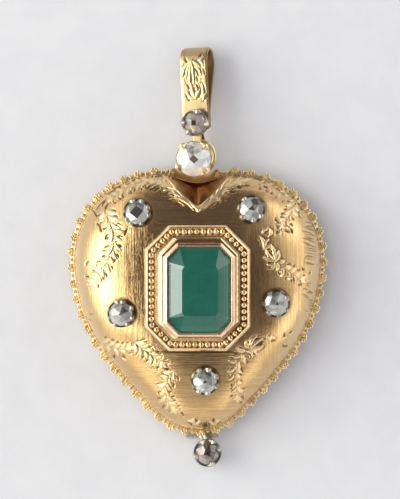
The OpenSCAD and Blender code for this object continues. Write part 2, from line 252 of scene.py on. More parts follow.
class Finish:
    """A material with one Principled shader, and methods that add nodes to it."""

    def __init__(self, name, **fixed):
        self.material = bpy.data.materials.new(name)
        self.material.use_nodes = True
        self.tree = self.material.node_tree
        self.shader = self.tree.nodes["Principled BSDF"]
        for socket, value in fixed.items():
            self.shader.inputs[socket.replace("_", " ")].default_value = value

    def node(self, kind, settings=None, inputs=None):
        """Any node: its type, its settings, then the values or links of its sockets."""
        node = self.tree.nodes.new(kind)
        for name, value in (settings or {}).items():
            setattr(node, name, value)
        for name, value in (inputs or {}).items():
            self.feed(node.inputs[name], value)
        return node

    def feed(self, socket, value):
        """Links a Value or a socket, or sets a plain number, colour or vector."""
        if isinstance(value, Value):
            self.tree.links.new(value.socket, socket)
        elif isinstance(value, bpy.types.NodeSocket):
            self.tree.links.new(value, socket)
        else:
            socket.default_value = value

    def place(self, scale=(1, 1, 1), angle=0.0):
        """Object coordinates in millimetres, stretched by scale and turned about Z."""
        where = self.node("ShaderNodeTexCoord").outputs["Object"]
        inputs = {
            "Vector": where,
            "Scale": [s / MM for s in scale],
            "Rotation": (0, 0, math.radians(angle)),
        }
        return self.node("ShaderNodeMapping", {"vector_type": "POINT"}, inputs).outputs["Vector"]

    def axis(self, name):
        """One object coordinate in millimetres."""
        node = self.node("ShaderNodeSeparateXYZ", None, {"Vector": self.place()})
        return Value(self, node.outputs[name])

    def noise(self, scale, detail=2.0, rough=0.5, angle=0.0):
        """Soft noise from 0 to 1, with about scale lumps to a millimetre along each axis. detail
        is how many finer layers it has, and rough how strong they are."""
        inputs = {
            "Vector": self.place(scale, angle),
            "Scale": 1.0,
            "Detail": detail,
            "Roughness": rough,
        }
        return Value(self, self.node("ShaderNodeTexNoise", None, inputs).outputs[0])

    def attribute(self, name):
        """A number stored with the points."""
        node = self.node("ShaderNodeAttribute", {"attribute_name": name})
        return Value(self, node.outputs["Fac"])

    def blend(self, share, first, second):
        """A colour between two colours. A Mix node has sockets for numbers, vectors and colours
        under the same names, so those for colours are found by their numbers."""
        node = self.node("ShaderNodeMix", {"data_type": "RGBA", "clamp_factor": True})
        self.feed(node.inputs[0], share)
        self.feed(node.inputs[6], first)
        self.feed(node.inputs[7], second)
        return node.outputs[2]

    def bump(self, height, strength, depth_mm, under=None):
        """A Bump node: height times depth_mm is the relief in millimetres."""
        inputs = {"Strength": strength, "Distance": depth_mm * MM, "Height": height}
        if under:
            inputs["Normal"] = under
        return self.node("ShaderNodeBump", None, inputs).outputs["Normal"]

    def output(self, **links):
        """Feeds the shader's sockets and returns the material."""
        for socket, value in links.items():
            self.feed(self.shader.inputs[socket.replace("_", " ")], value)
        return self.material


# %% [markdown]
# ## The metals
#
# The heart is gold that was brushed with a fine wire brush or emery after it was engraved. The
# strokes run along the sides of the octagonal frame, so they are upright beside it and level above
# and below it. Two stretched noises, one for each direction, are blended by which side of the
# frame's diagonals a point lies on. The cuts of the engraver hold dirt, and round the collets a
# painted shadow darkens the gold. What stands proud is rubbed bright and also painted lighter as a
# painted highlight. Both come from numbers that the mesh stores where it is cut. On the satin
# itself a painted reflection makes the slope near the rim pale, painted shade darkens a patch
# right of the frame and the hollow of the cleft, and a painted shadow follows the frame's lower
# side. These could be painted on a picture, but ranges of the coordinates keep them sharp at any
# distance.

# %% Where the satin changes
# Pairs are where a change begins and ends, in millimetres. The frame's corners lie on this slope,
# and the direction of the strokes turns over within BRUSH_TURN of it
FRAME_DIAGONAL, BRUSH_TURN = 1.25, (-0.6, 0.6)
# The slope near the rim is painted pale, a painted reflection of the bright paper and lamps, less
# so towards the crown and the tip, and its foot is painted warmer by the same painted reflection
SLOPE_Z, ENDS_Y, ENDS_SHARE = (3.8, 7.4), (3.0, 12.0), 0.75
FOOT_Z = (3.0, 5.2)
# A patch right of the frame is painted in shade: where it comes and goes along X, the Y of its
# middle, and the squares of its reach from there
SHADE_PATCH_IN, SHADE_PATCH_OUT, SHADE_PATCH_Y, SHADE_PATCH_REACH = (5.3, 6.6), (7.4, 10.4), 2.0, (10.0, 60.0)
# A painted shadow line follows the lower side of the frame, 7.2 mm below the middle. Its reach
# as squares
FRAME_SHADOW_IN, FRAME_SHADOW_OUT, FRAME_SHADOW_REACH = (7.1, 7.25), (7.3, 7.55), (12.0, 22.0)

# %% [markdown]
# The colour of the satin is a pile of thin layers, as in a painting: each layer has a share, which
# says where it covers, and a tint, and is blended over all those before it.

# %% Satin gold
def rgb(red, green, blue):
    """An opaque colour in linear light."""
    return (red, green, blue, 1.0)


def satin_gold():
    """Brushed gold. Its roughness and relief are sums of the strokes, a fine grain and the wear."""
    f = Finish("satin_gold", Metallic=1.0)
    east, north, up = f.axis("X"), f.axis("Y"), f.axis("Z")
    beside = (east.unsigned() * FRAME_DIAGONAL - north.unsigned()).clipped(*BRUSH_TURN)
    upright = f.noise((4.6, 0.2, 0.3), 4.0, 0.75)
    level = f.noise((0.2, 4.6, 0.3), 4.0, 0.75)
    strokes = upright * beside + level * (1 - beside)
    cloud = f.noise((0.22, 0.22, 0.22), 3.0, 0.6)
    grain = f.noise((14.0, 14.0, 14.0), 2.0, 0.6)
    cut = f.attribute("cut")
    leaf = f.attribute("leaf").clipped(0.05, 0.6)
    hollow = f.attribute("hollow")
    slope = (1 - up.clipped(*SLOPE_Z)) * (1 - north.unsigned().clipped(*ENDS_Y) * ENDS_SHARE)
    off = north - SHADE_PATCH_Y
    shade_patch = east.band(SHADE_PATCH_IN, SHADE_PATCH_OUT) * (1 - (off * off).clipped(*SHADE_PATCH_REACH))
    line = (0 - north).band(FRAME_SHADOW_IN, FRAME_SHADOW_OUT) * (1 - (east * east).clipped(*FRAME_SHADOW_REACH))
    colour = f.blend(cloud.clipped(0.35, 0.68), rgb(0.79, 0.54, 0.245), rgb(0.72, 0.475, 0.20))
    layers = [
        (strokes.clipped(0.42, 0.72) * 0.7, rgb(0.48, 0.28, 0.12)),
        # painted reflection: the slope near the rim and its foot are painted pale and warm
        (slope * 0.85, rgb(1.0, 0.82, 0.54)),
        ((1 - up.clipped(*FOOT_Z)) * 0.75, rgb(0.95, 0.67, 0.36)),
        # painted shade on a patch right of the frame
        (shade_patch * 0.6, rgb(0.42, 0.265, 0.11)),
        # painted shadow along the lower side of the frame
        (line * 0.8, rgb(0.17, 0.08, 0.03)),
        # painted highlight on the raised leaves and the folds' lip, as well as rubbed gold
        (leaf * 0.8, rgb(1.0, 0.78, 0.43)),
        # painted shade in the cleft's hollow
        (hollow, rgb(0.50, 0.245, 0.10)),
        # engraving dirt in the cuts, and the painted shadow round the collets
        (cut.clipped(0.14, 0.9), rgb(0.19, 0.115, 0.045)),
    ]
    for share, tint in layers:
        colour = f.blend(share, colour, tint)
    rough = (0.15 + strokes * 0.08 + cloud * 0.04 + leaf * 0.1 - hollow * 0.08 + slope * 0.06
             + cut * 0.2)
    normal = f.bump(grain, 0.2, 0.012, f.bump(strokes, 0.7, 0.05))
    return f.output(Base_Color=colour, Roughness=rough, Normal=normal)


SATIN_GOLD = satin_gold()

# %% [markdown]
# The border, the ring and the top collet are polished gold that has worn a little. The frame is a
# little redder, the emerald's collet is a rose alloy, and the bail is browner and duller, because
# a chain and fingers rub it. One function makes the four, because they differ only in their two
# colours and in how rough and scratched they are.

# %% Polished golds
WORN = 0.84


def polished_gold(name, bright, deep, rough, scratched=0.3):
    """Gold whose bright colour falls to WORN of itself in clouds and to the deep one where the mesh
    stores a darkening: painted shade in the recesses of the border, frame and collet and inside the
    bail's loop, dirt in the bail's cuts and between claws, and a plain darkening towards the bail's
    bend. Fine slanting scratches are its relief."""
    f = Finish(name, Metallic=1.0)
    cloud = f.noise((0.6, 0.6, 0.6), 3.0, 0.6)
    scratch = f.noise((9.0, 2.0, 2.0), 3.0, 0.65, angle=27)
    cut = f.attribute("cut")
    face = f.blend(cloud.clipped(0.35, 0.7), bright, rgb(*[c * WORN for c in bright[:3]]))
    # the deep colour where the stored darkening is, painted shade on the border, frame and collet
    darkened = f.blend(cut.clipped(0.1, 1.0), face, deep)
    wear = rough + scratch * 0.14 + cut * 0.2
    return f.output(Base_Color=darkened, Roughness=wear, Normal=f.bump(scratch, scratched, 0.02))


BORDER_GOLD = polished_gold("border_gold", rgb(1.0, 0.83, 0.47), rgb(0.45, 0.27, 0.09), 0.22)
FRAME_GOLD = polished_gold("frame_gold", rgb(1.0, 0.76, 0.42), rgb(0.36, 0.18, 0.06), 0.17)
ROSE_GOLD = polished_gold("rose_gold", rgb(0.88, 0.61, 0.42), rgb(0.25, 0.10, 0.06), 0.14)
BAIL_GOLD = polished_gold("bail_gold", rgb(0.755, 0.565, 0.285), rgb(0.22, 0.12, 0.045), 0.26,
                          scratched=0.1)

# %% [markdown]
# The collets are silver that has gone grey in its corners, with a yellowish cast. One stained
# picture round every collet would repeat its stains, but noise over the place of a point makes
# each collet a little different from the next.

# %% Silver
def worn_silver():
    """Silver clouded between two greys, nearly black where a cut holds dirt, with a hammered
    relief of fine noise."""
    f = Finish("silver", Metallic=1.0)
    cloud = f.noise((1.5, 1.5, 1.5), 3.0, 0.65)
    speck = f.noise((8.0, 8.0, 8.0), 2.0, 0.6)
    cut = f.attribute("cut")
    face = f.blend(cloud.clipped(0.35, 0.7), rgb(0.72, 0.70, 0.62), rgb(0.48, 0.46, 0.38))
    darkened = f.blend(cut.clipped(0.05, 0.8), face, rgb(0.07, 0.055, 0.04))
    rough = 0.26 + speck * 0.2 + cut * 0.2
    return f.output(Base_Color=darkened, Roughness=rough, Normal=f.bump(speck, 0.4, 0.03))


SILVER = worn_silver()

# %% [markdown]
# ## The outline of the heart
#
# Each side of the heart is five arcs that touch smoothly: the flat crown, the round lobe, the
# side, the nearly straight flank and the tip. An arc is found by the direction in which the outline
# faces, from straight up at the crown to straight down at the tip, so an outline moved inwards only
# has smaller radii. A dip of half a cosine wave makes the notch between the lobes.

# %% Outline
# The whole width, the height at which it is widest, the radii of the arcs, the directions in which
# the side and the flank end, and the depth and half width of the notch
HEART_W = 30.1
WIDE_Y = 3.35
LOBE_R, CROWN_R, SIDE_R, FLANK_R = 10.45, 30.0, 19.0, 60.0
SIDE_END, FLANK_END = -37.0, -46.0
NOTCH, NOTCH_HALF = 1.4, 5.0

lobe_c = np.array([HEART_W / 2 - LOBE_R, WIDE_Y])
crown_end = math.degrees(math.acos(lobe_c[0] / (CROWN_R - LOBE_R)))
crown_c = lobe_c + (LOBE_R - CROWN_R) * direction(crown_end)
side_c = np.array([HEART_W / 2 - SIDE_R, WIDE_Y])
flank_c = side_c + (SIDE_R - FLANK_R) * direction(SIDE_END)
tip_r = FLANK_R + flank_c[0] / math.cos(math.radians(FLANK_END))
tip_c = flank_c + (FLANK_R - tip_r) * direction(FLANK_END)

ARC_CENTRE = np.array([crown_c, lobe_c, side_c, flank_c, tip_c])
ARC_RADIUS = np.array([CROWN_R, LOBE_R, SIDE_R, FLANK_R, tip_r])
ARC_FROM = np.array([90, crown_end, 0, SIDE_END, FLANK_END])
ARC_TO = np.array([crown_end, 0, SIDE_END, FLANK_END, -90])
arc_length = ARC_RADIUS * np.radians(ARC_FROM - ARC_TO)
ARC_ENDS = np.r_[0, np.cumsum(arc_length)] / arc_length.sum()
HEART_EDGE = 2 * arc_length.sum()


def outline(way, inset):
    """Points of the outline moved inwards by inset. way runs from 0 at the top middle down the
    left side to 1 at the tip and up the right side to 2."""
    u = np.where(way <= 1, way, 2 - way)
    arc = np.clip(np.searchsorted(ARC_ENDS, u, side="right") - 1, 0, 4)
    share = (u - ARC_ENDS[arc]) / (ARC_ENDS[arc + 1] - ARC_ENDS[arc])
    facing = direction(mix(ARC_FROM[arc], ARC_TO[arc], share))
    points = ARC_CENTRE[arc] + (ARC_RADIUS[arc, None] - inset) * facing
    return points * np.stack([np.where(way <= 1, -1, 1), np.ones(len(way))], axis=-1)


def notched(points):
    """The outline with the dip between the lobes."""
    x, y = points[..., 0], points[..., 1]
    dip = NOTCH * (1 + np.cos(np.pi * np.minimum(np.abs(x) / NOTCH_HALF, 1))) / 2
    return np.stack([x, np.where(y > 0, y - dip, y)], axis=-1)


print(f"the edge of the heart is {HEART_EDGE:.1f} mm long")

# %% [markdown]
# ## Leaves cut with a graver
#
# Sprays of small leaves run over the heart and down the bail. On the real jewel an engraver cut
# them in the metal with a graver, each leaf with a few strokes, and the walls of the strokes
# sparkle. A bump map would be flat from the side and would be lost in a fine close view, so the
# strokes are real relief: each is a small hill or furrow over a curved middle line, and where they
# cross, the higher hill and the deeper furrow win.

# %% Strokes
LEAF_HEIGHT, CUT_DEPTH = 0.07, 0.11
# The furrow round a leaf: its depth as a share of a cut, its distance from the leaf and half width
FURROW, FURROW_OFF, FURROW_HALF = 0.42, 0.04, 0.09
# A stroke reaches this share of its length from its foot, bends included
STROKE_REACH = 1.4
# Its ends overshoot by a share of its length and stay blunt by a share of its half width
OVERSHOOT, BLUNT = 0.05, 0.12
# Where a leaf stands higher than this, it covers the furrows
LEAF_COVERS = 0.02


def stroke_relief(x, y, strokes):
    """Height and depth in millimetres at each point. A stroke has columns x, y, heading, length,
    width, bend and height. Along it, s runs from 0 to 1, its middle line bows out by bend x
    4s(1-s), and its half width is a sine of s. A leaf's height falls as 1 - q^2 across, with q the
    distance from the middle line in half widths, and a fine furrow lies round it. A stroke of
    negative height is a furrow with straight walls, flat over its middle third."""
    high, deep = np.zeros_like(x), np.zeros_like(x)
    for foot_x, foot_y, heading, length, width, bend, height in strokes:
        box = length * STROKE_REACH
        near = (np.abs(x - foot_x) < box) & (np.abs(y - foot_y) < box)
        ahead, aside = direction(heading), direction(heading + 90)
        dx, dy = x[near] - foot_x, y[near] - foot_y
        s = (dx * ahead[0] + dy * ahead[1]) / length
        across = np.abs(dx * aside[0] + dy * aside[1] - bend * 4 * s * (1 - s))
        inside = (s > -OVERSHOOT) & (s < 1 + OVERSHOOT)
        half = width / 2 * (BLUNT + np.sin(np.pi * np.clip(s, 0, 1)) ** 0.8)
        if height > 0:
            hill = height * np.clip(1 - (across / half) ** 2, 0, 1) * inside
            high[near] = np.maximum(high[near], hill)
            edge = np.clip(1 - np.abs(across - half - FURROW_OFF) / FURROW_HALF, 0, 1)
            furrow = FURROW * CUT_DEPTH * edge * inside * (hill <= 0)
        else:
            furrow = -height * np.clip(1.5 - 1.5 * across / half, 0, 1) * inside
        deep[near] = np.maximum(deep[near], furrow)
    return high, deep * (high < LEAF_COVERS)


# %% [markdown]
# A spray is drawn as an engraver would: first the stem, then a leaf on each side at every step,
# and a dark teardrop cut beside each leaf. A seeded random generator plays the uneven hand, so the
# sprays come out the same in every run.

# %% Sprays, fans and marks
# A leaf's direction sways by so many degrees, and its size by such a share
SWAY, UNEVEN = 13, 0.2
# How far from the stem's line a leaf starts, and beside it its cut
FOOT_OFF, CUT_OFF = 0.08, 0.24
# How strongly a leaf bends, as a share of its length, and the step that tells the stem's direction
LEAF_BEND, STEM_STEP = 0.12, 0.35
# The ranges of a cut: the share of the leaf at which it starts, the degrees by which it turns out,
# its length as a share of the leaf's, and its width
CUT_AT, CUT_TURN, CUT_LENGTH, CUT_WIDTH = (0.35, 0.6), (-4, 26), (0.38, 0.58), (0.17, 0.25)


def spray(path, seed, length, pitch=0.78, width=0.42, taper=0.3, opening=46):
    """Strokes along a stem through the given points: at every pitch a leaf on each side, turned by
    the opening, give or take SWAY, from the stem, and a dark teardrop cut beside its tip. The sizes
    shrink by taper towards the end."""
    hand = np.random.default_rng(seed)
    path = np.array(path, float)
    along = np.r_[0, np.cumsum(np.hypot(*np.diff(path, axis=0).T))]
    count = max(2, round(along[-1] / pitch))
    where = (np.arange(count) + 0.3) / count * along[-1]

    def stem(at):
        """The place on the stem after a way, straight between its points."""
        at = np.clip(at, 0, along[-1])
        return np.array([np.interp(at, along, path[:, 0]), np.interp(at, along, path[:, 1])])

    x, y = stem(where)
    lead = stem(where + STEM_STEP) - stem(where - STEM_STEP)
    heading = np.degrees(np.arctan2(lead[1], lead[0]))
    strokes = []
    for k in range(count):
        size = 1 - taper * k / count
        for side in (-1, 1):
            turned = heading[k] + side * (opening + SWAY * hand.uniform(-1, 1))
            l = length * size * (1 + UNEVEN * hand.uniform(-1, 1))
            w = width * size * (1 + UNEVEN * hand.uniform(-1, 1))
            foot = np.array([x[k], y[k]]) + side * FOOT_OFF * direction(heading[k] + 90)
            strokes.append((*foot, turned, l, w, -side * LEAF_BEND * l, LEAF_HEIGHT))
            out = hand.uniform(*CUT_AT) * l
            mark = foot + out * direction(turned) + side * CUT_OFF * direction(turned + 90)
            strokes.append((*mark, turned + side * hand.uniform(*CUT_TURN),
                            l * hand.uniform(*CUT_LENGTH), hand.uniform(*CUT_WIDTH),
                            side * 0.05, -CUT_DEPTH))
    strokes.append((x[-1], y[-1], heading[-1], length * 0.9, width, 0.0, LEAF_HEIGHT))
    return strokes


def fan(x, y, leaves, width):
    """A palmette whose leaves open from one foot. Each leaf is a heading, a length and a bend, and
    a dark cut follows it on its hollow side."""
    strokes = []
    for heading, length, bend in leaves:
        strokes.append((x, y, heading, length, width, bend, LEAF_HEIGHT * 1.3))
        beside = (-1 if bend > 0 else 1) * 0.3 * direction(heading + 90)
        mark = np.array([x, y]) + 0.3 * length * direction(heading) + beside
        strokes.append((*mark, heading, length * 0.6, 0.24, bend, -CUT_DEPTH))
    return strokes


def marks(*rows):
    """Single teardrop cuts: x, y, heading and length."""
    return [(x, y, heading, length, 0.26, 0.04, -CUT_DEPTH) for x, y, heading, length in rows]


# %% [markdown]
# The chart of the engraving. The stems were read off the photograph and written down as places on
# the heart, in millimetres from the middle of the frame. A chart keeps what was drawn apart from
# how it is drawn, so a leaf can be moved without touching the rules above.

# %% Chart of the heart's engraving
SPRAYS = [
    # along the folds of the cleft, from its point outwards
    dict(path=[(-0.4, 9.0), (-1.35, 10.05), (-2.4, 11.1), (-3.5, 11.8), (-5.0, 12.2)], pitch=0.4,
         length=1.9, width=0.25, seed=11, opening=24),
    dict(path=[(0.6, 9.0), (1.6, 10.1), (2.65, 11.15), (3.7, 11.85), (5.2, 12.3)], pitch=0.4,
         length=1.7, width=0.24, seed=12, opening=24),
    # along the rim of the left lobe
    dict(path=[(-5.6, 12.4), (-7.4, 11.9), (-8.8, 11.1), (-10.2, 10.1)], length=0.8, seed=13),
    # along the rim of the right lobe
    dict(path=[(7.0, 12.2), (8.8, 11.5), (10.3, 10.4), (11.5, 9.0)], length=0.75, width=0.3,
         seed=22),
    # the wreath on the left
    dict(path=[(-10.7, 9.2), (-10.1, 7.7), (-9.6, 6.4), (-9.5, 5.0), (-9.9, 3.9), (-10.4, 2.9),
               (-11.2, 1.9), (-12.2, 0.6)], length=1.2, width=0.46, seed=14, taper=0.2),
    # the wreath on the right
    dict(path=[(11.4, 10.0), (10.9, 8.9), (10.2, 7.9), (9.4, 6.9)], length=1.0, seed=15),
    dict(path=[(9.0, 3.1), (10.1, 2.1), (11.1, 1.4), (12.3, 0.7)], length=0.9, width=0.38, seed=16),
    # the two sprays of the lower left
    dict(path=[(-11.3, -6.2), (-10.2, -6.7), (-9.0, -7.1), (-7.5, -6.9)], length=0.95, seed=17),
    dict(path=[(-7.3, -6.2), (-6.2, -7.0), (-5.0, -7.8), (-3.8, -8.8)], length=1.1, width=0.46,
         seed=21),
    dict(path=[(-2.6, -9.4), (-3.4, -10.4), (-3.7, -11.6), (-3.5, -12.9), (-2.6, -14.2)],
         length=1.05, width=0.42, seed=18),
    # the stem of the lower right
    dict(path=[(5.3, -7.4), (4.4, -8.7), (4.2, -9.8), (4.5, -11.0), (4.6, -12.9)],
         length=1.0, width=0.42, seed=19),
]
# Palmettes: the foot in x and y, the leaves as heading, length and bend, and the width of a leaf
FANS = [
    # the palmette on the right of the frame: it stands on the stem of the wreath and leans back
    (8.9, 3.1, [(160, 1.5, 0.1), (128, 1.7, 0.2), (104, 1.9, -0.15), (72, 1.3, -0.15)], 0.42),
    (8.8, 3.0, [(230, 1.1, 0.3), (196, 0.9, 0.2)], 0.36),
    (7.6, 4.5, [(108, 1.5, -0.25), (62, 1.3, 0.2), (20, 0.8, 0.1)], 0.4),
    (8.3, 6.9, [(214, 1.1, -0.2), (262, 1.0, 0.2)], 0.38),
    (9.5, 6.8, [(118, 1.5, -0.4), (230, 0.9, 0.25), (-20, 1.3, 0.3)], 0.36),
    # the palmette under the frame's lower right corner
    (6.0, -6.9, [(122, 1.0, 0.1), (60, 1.8, 0.25), (38, 2.0, 0.1), (14, 1.8, -0.2)], 0.42),
    (5.5, -7.2, [(165, 1.1, 0.1), (-14, 1.3, 0.35), (-38, 1.1, 0.3)], 0.38),
    (8.1, -5.9, [(10, 1.0, 0.1), (48, 0.8, 0.1)], 0.34),
    # small scrolls over the tip
    (-0.2, -15.8, [(100, 1.0, 0.2), (148, 1.1, -0.2), (55, 0.8, -0.1)], 0.42),
    (1.9, -15.8, [(82, 1.0, -0.2), (36, 1.1, 0.2), (128, 0.8, 0.1)], 0.42),
]
SINGLE_MARKS = marks(
    (-12.0, 8.9, -62, 0.9), (-11.6, 7.5, -48, 0.7), (-11.2, 7.0, -75, 0.6), (-12.9, 2.5, 60, 0.7),
    (-11.0, 9.4, 62, 1.0), (-10.6, 9.0, 66, 1.0), (-8.0, 6.9, -115, 0.9),
    (10.0, -5.1, -100, 0.5), (10.9, -4.9, -140, 0.5), (9.8, -6.5, -60, 0.4), (10.4, -6.6, 200, 0.4),
    (9.8, -5.6, 10, 0.4), (10.1, 7.2, -130, 0.5), (10.7, 6.8, -75, 0.6), (11.6, 8.5, -60, 0.5),
    (11.2, 9.9, -80, 0.6), (12.2, 0.8, -140, 0.7), (12.0, 2.4, -70, 0.5), (13.0, 1.9, 240, 0.4),
    (4.9, -13.3, 40, 0.5), (-1.9, -14.2, -60, 0.6), (-8.7, -7.9, -30, 0.5), (-9.8, -7.7, -60, 0.5),
)
# Columns: x, y, heading, length, width, bend and height
RIM_LINES = [
    # furrows along the rim of the lobes
    (3.9, 13.0, -10, 2.6, 0.22, 0.1, -CUT_DEPTH), (6.1, 12.8, -24, 2.2, 0.22, 0.12, -CUT_DEPTH),
    (6.9, 12.0, -26, 1.7, 0.2, 0.08, -CUT_DEPTH), (8.4, 11.9, -38, 2.2, 0.22, 0.14, -CUT_DEPTH),
    (-3.9, 12.9, 188, 2.4, 0.22, -0.1, -CUT_DEPTH), (-6.3, 12.7, 204, 2.2, 0.22, -0.12, -CUT_DEPTH),
    (-8.6, 11.9, 216, 2.2, 0.22, -0.14, -CUT_DEPTH), (-10.6, 10.2, 230, 1.8, 0.2, -0.1, -CUT_DEPTH),
    # a thin one at the lower right
    (3.9, -14.9, 38, 2.7, 0.16, -0.06, -0.7 * CUT_DEPTH),
    # raised strokes where the folds of the cleft meet
    (0.08, 8.72, 90, 0.62, 0.5, 0.0, 1.4 * LEAF_HEIGHT),
    (-0.02, 8.98, 137, 1.5, 0.34, -0.06, 1.3 * LEAF_HEIGHT),
    (0.18, 8.98, 43, 1.5, 0.3, 0.06, 1.3 * LEAF_HEIGHT),
]
# Nearly level furrows under each other. Columns: x, top, bottom, count, length and seed
LADDERS = [
    (12.3, 7.5, 2.7, 21, 1.35, 31), (12.4, 0.6, -2.6, 12, 0.9, 32), (-12.6, -3.0, -6.0, 6, 0.6, 33),
]


def ladder(x, top, bottom, count, length, seed):
    """Short, nearly level furrows evenly spaced from top to bottom, give or take a seeded bit, such
    as an engraver leaves to shade the ground."""
    hand = np.random.default_rng(seed)
    heights = np.linspace(top, bottom, count) + hand.uniform(-0.12, 0.12, count)
    return [
        (x + hand.uniform(-0.35, 0.35), y, hand.uniform(-24, -4), length * hand.uniform(0.6, 1.2),
         0.22, 0.04, -0.68 * CUT_DEPTH)
        for y in heights
    ]


engraving = [stroke for chart in SPRAYS for stroke in spray(**chart)]
engraving += [stroke for chart in FANS for stroke in fan(*chart)]
engraving += SINGLE_MARKS + RIM_LINES
engraving += [stroke for chart in LADDERS for stroke in ladder(*chart)]
print("strokes on the heart:", len(engraving))

# %% [markdown]
# ## The heart's front
#
# A goldsmith presses the front from thin sheet in a die. Seen from above it is one surface of two
# numbers: the way round the outline, and the share t of the way out from the middle. The height is
# a curve in t that is nearly flat under the emerald and steep at the rim. In the cleft the dome
# ends early, along two straight folds that meet in a point, and from the folds a hollow wall falls
# to the rim. The grid has a line of points on the folds, so they stay crisp.

# %% Dome
# The height of the seam between the shells and of the dome over it, the border's width, the play
# between two pieces and the thickness of the sheet
SEAM_Z, DOME_H, BORDER_W, GAP, SHELL = 2.7, 6.3, 0.85, 0.03, 0.45
# The folds of the cleft: where they meet, their slope, how the wall falls and the rounding
CLEFT_Y, CLEFT_SLOPE, CLEFT_FALL, POINT_R = 9.26, 1.08, 1.5, 0.5
# Shares of the way out: the seat of the frame, the hole under it, and the lip of the rim
SEAT_T, HOLE_T, EDGE_T = 0.44, 0.31, 0.95
seat_z = SEAM_Z + DOME_H * math.sqrt(1 - SEAT_T**4)


def dome_rise(t):
    """The height of the dome as a share: the square root of 1 - t^4."""
    return np.sqrt(np.maximum(0, 1 - t**4))


def fold_share(points, point_y):
    """The share of the way out at which the dome ends: EDGE_T, or the folds of the cleft, which
    meet in a small round of the square root of x^2 + POINT_R^2."""
    steep = points[:, 1] - CLEFT_SLOPE * (np.hypot(points[:, 0], POINT_R) - POINT_R)
    return np.where(steep > 0.01, np.minimum(EDGE_T, point_y / np.maximum(steep, 0.01)), EDGE_T)


def front_rows(way, inset, height, point_y, inner, rim):
    """Rows of points from the seat of the frame out to the fold, then down to the rim. inner and
    rim are the shares of the two stretches at which a row lies."""
    edge = outline(way, inset)
    fold = fold_share(edge, point_y)
    rows = []
    for s in inner:
        t = mix(SEAT_T, fold, s)
        rows.append(np.c_[edge * t[:, None], SEAM_Z + height * dome_rise(t)])
    low = point_y / edge[0, 1]
    cleft = (EDGE_T - fold) / (EDGE_T - low)
    for v in rim:
        lip = dome_rise(mix(EDGE_T, 1, v)) / dome_rise(EDGE_T)
        wall = (1 - v) ** CLEFT_FALL
        flat = mix(edge * fold[:, None], notched(edge), v)
        rows.append(np.c_[flat, SEAM_Z + height * dome_rise(fold) * mix(lip, wall, cleft)])
    return np.array(rows)


def normals(points):
    """Outward unit normals of a grid whose columns run round: the cross product of the steps to
    the neighbours in both directions."""
    down = np.gradient(points, axis=0)
    round_it = np.roll(points, -1, axis=1) - np.roll(points, 1, axis=1)
    n = np.cross(down, round_it)
    return n / np.maximum(np.linalg.norm(n, axis=-1, keepdims=True), 1e-9)


# %% [markdown]
# Round each collet the gold is darkened by a painted shadow, thickest above the collet and to its
# right. It could be painted by hand, but a share that falls with the distance from the wall puts
# it where it belongs on every stone.

# %% Painted shadow round the collets
# The places of the five small stones
SMALL_STONES = {
    "upper_left": (-6.9, 8.57), "upper_right": (6.15, 8.97), "left": (-8.7, -2.9),
    "right": (8.96, -1.75), "lower": (0.85, -10.6),
}
# The radius of a collet's wall, how far its painted shadow reaches, and how dark it is at most
COLLET_OUT, COLLET_SHADOW_W, COLLET_SHADOW = 1.62, 0.6, 0.8


def collet_shadow(x, y):
    """Painted shadow round the collets: it fades over the given width from each wall and is
    thickest above it and to its right, (3 + 2 cos) / 5 with the angle from that side."""
    most = np.zeros_like(x)
    for stone_x, stone_y in SMALL_STONES.values():
        dx, dy = x - stone_x, y - stone_y
        apart = np.hypot(dx, dy)
        side = 0.6 + 0.4 * (0.5 * dx + 0.87 * dy) / np.maximum(apart, 0.1)
        most = np.maximum(most, side * (1 - smooth(apart, COLLET_OUT, COLLET_OUT + COLLET_SHADOW_W)))
    return most


# %% [markdown]
# The relief is added along the surface's own normal. The mesh stores how deep and how high each
# point was moved, and the material reads both. The cleft is left plain, because an engraver's tool
# doesn't reach into it. Its folds carry a thin raised lip, painted lighter as a painted highlight,
# and the hollow between them is painted dark as shade. All three follow from how far a point lies
# above a V: its y less a slope times the size of its x.

# %% Make the front
COLUMNS, INNER_ROWS, RIM_ROWS = 720, 104, 26
# The engraving fades out over this height above the seam
FADE_Z = (0.1, 0.9)
# Heights over the V at which the cleft and the painted shade of its hollow set in, and the
# hollow's own V
CLEFT_FROM = (8.0, 8.8)
HOLLOW_FROM, HOLLOW_SLOPE, HOLLOW_X = (9.0, 9.6), 1.15, 0.1
LIP_W = 0.22
# The folds inside the shell lie this much lower than those outside
INSIDE_DROP = 0.75


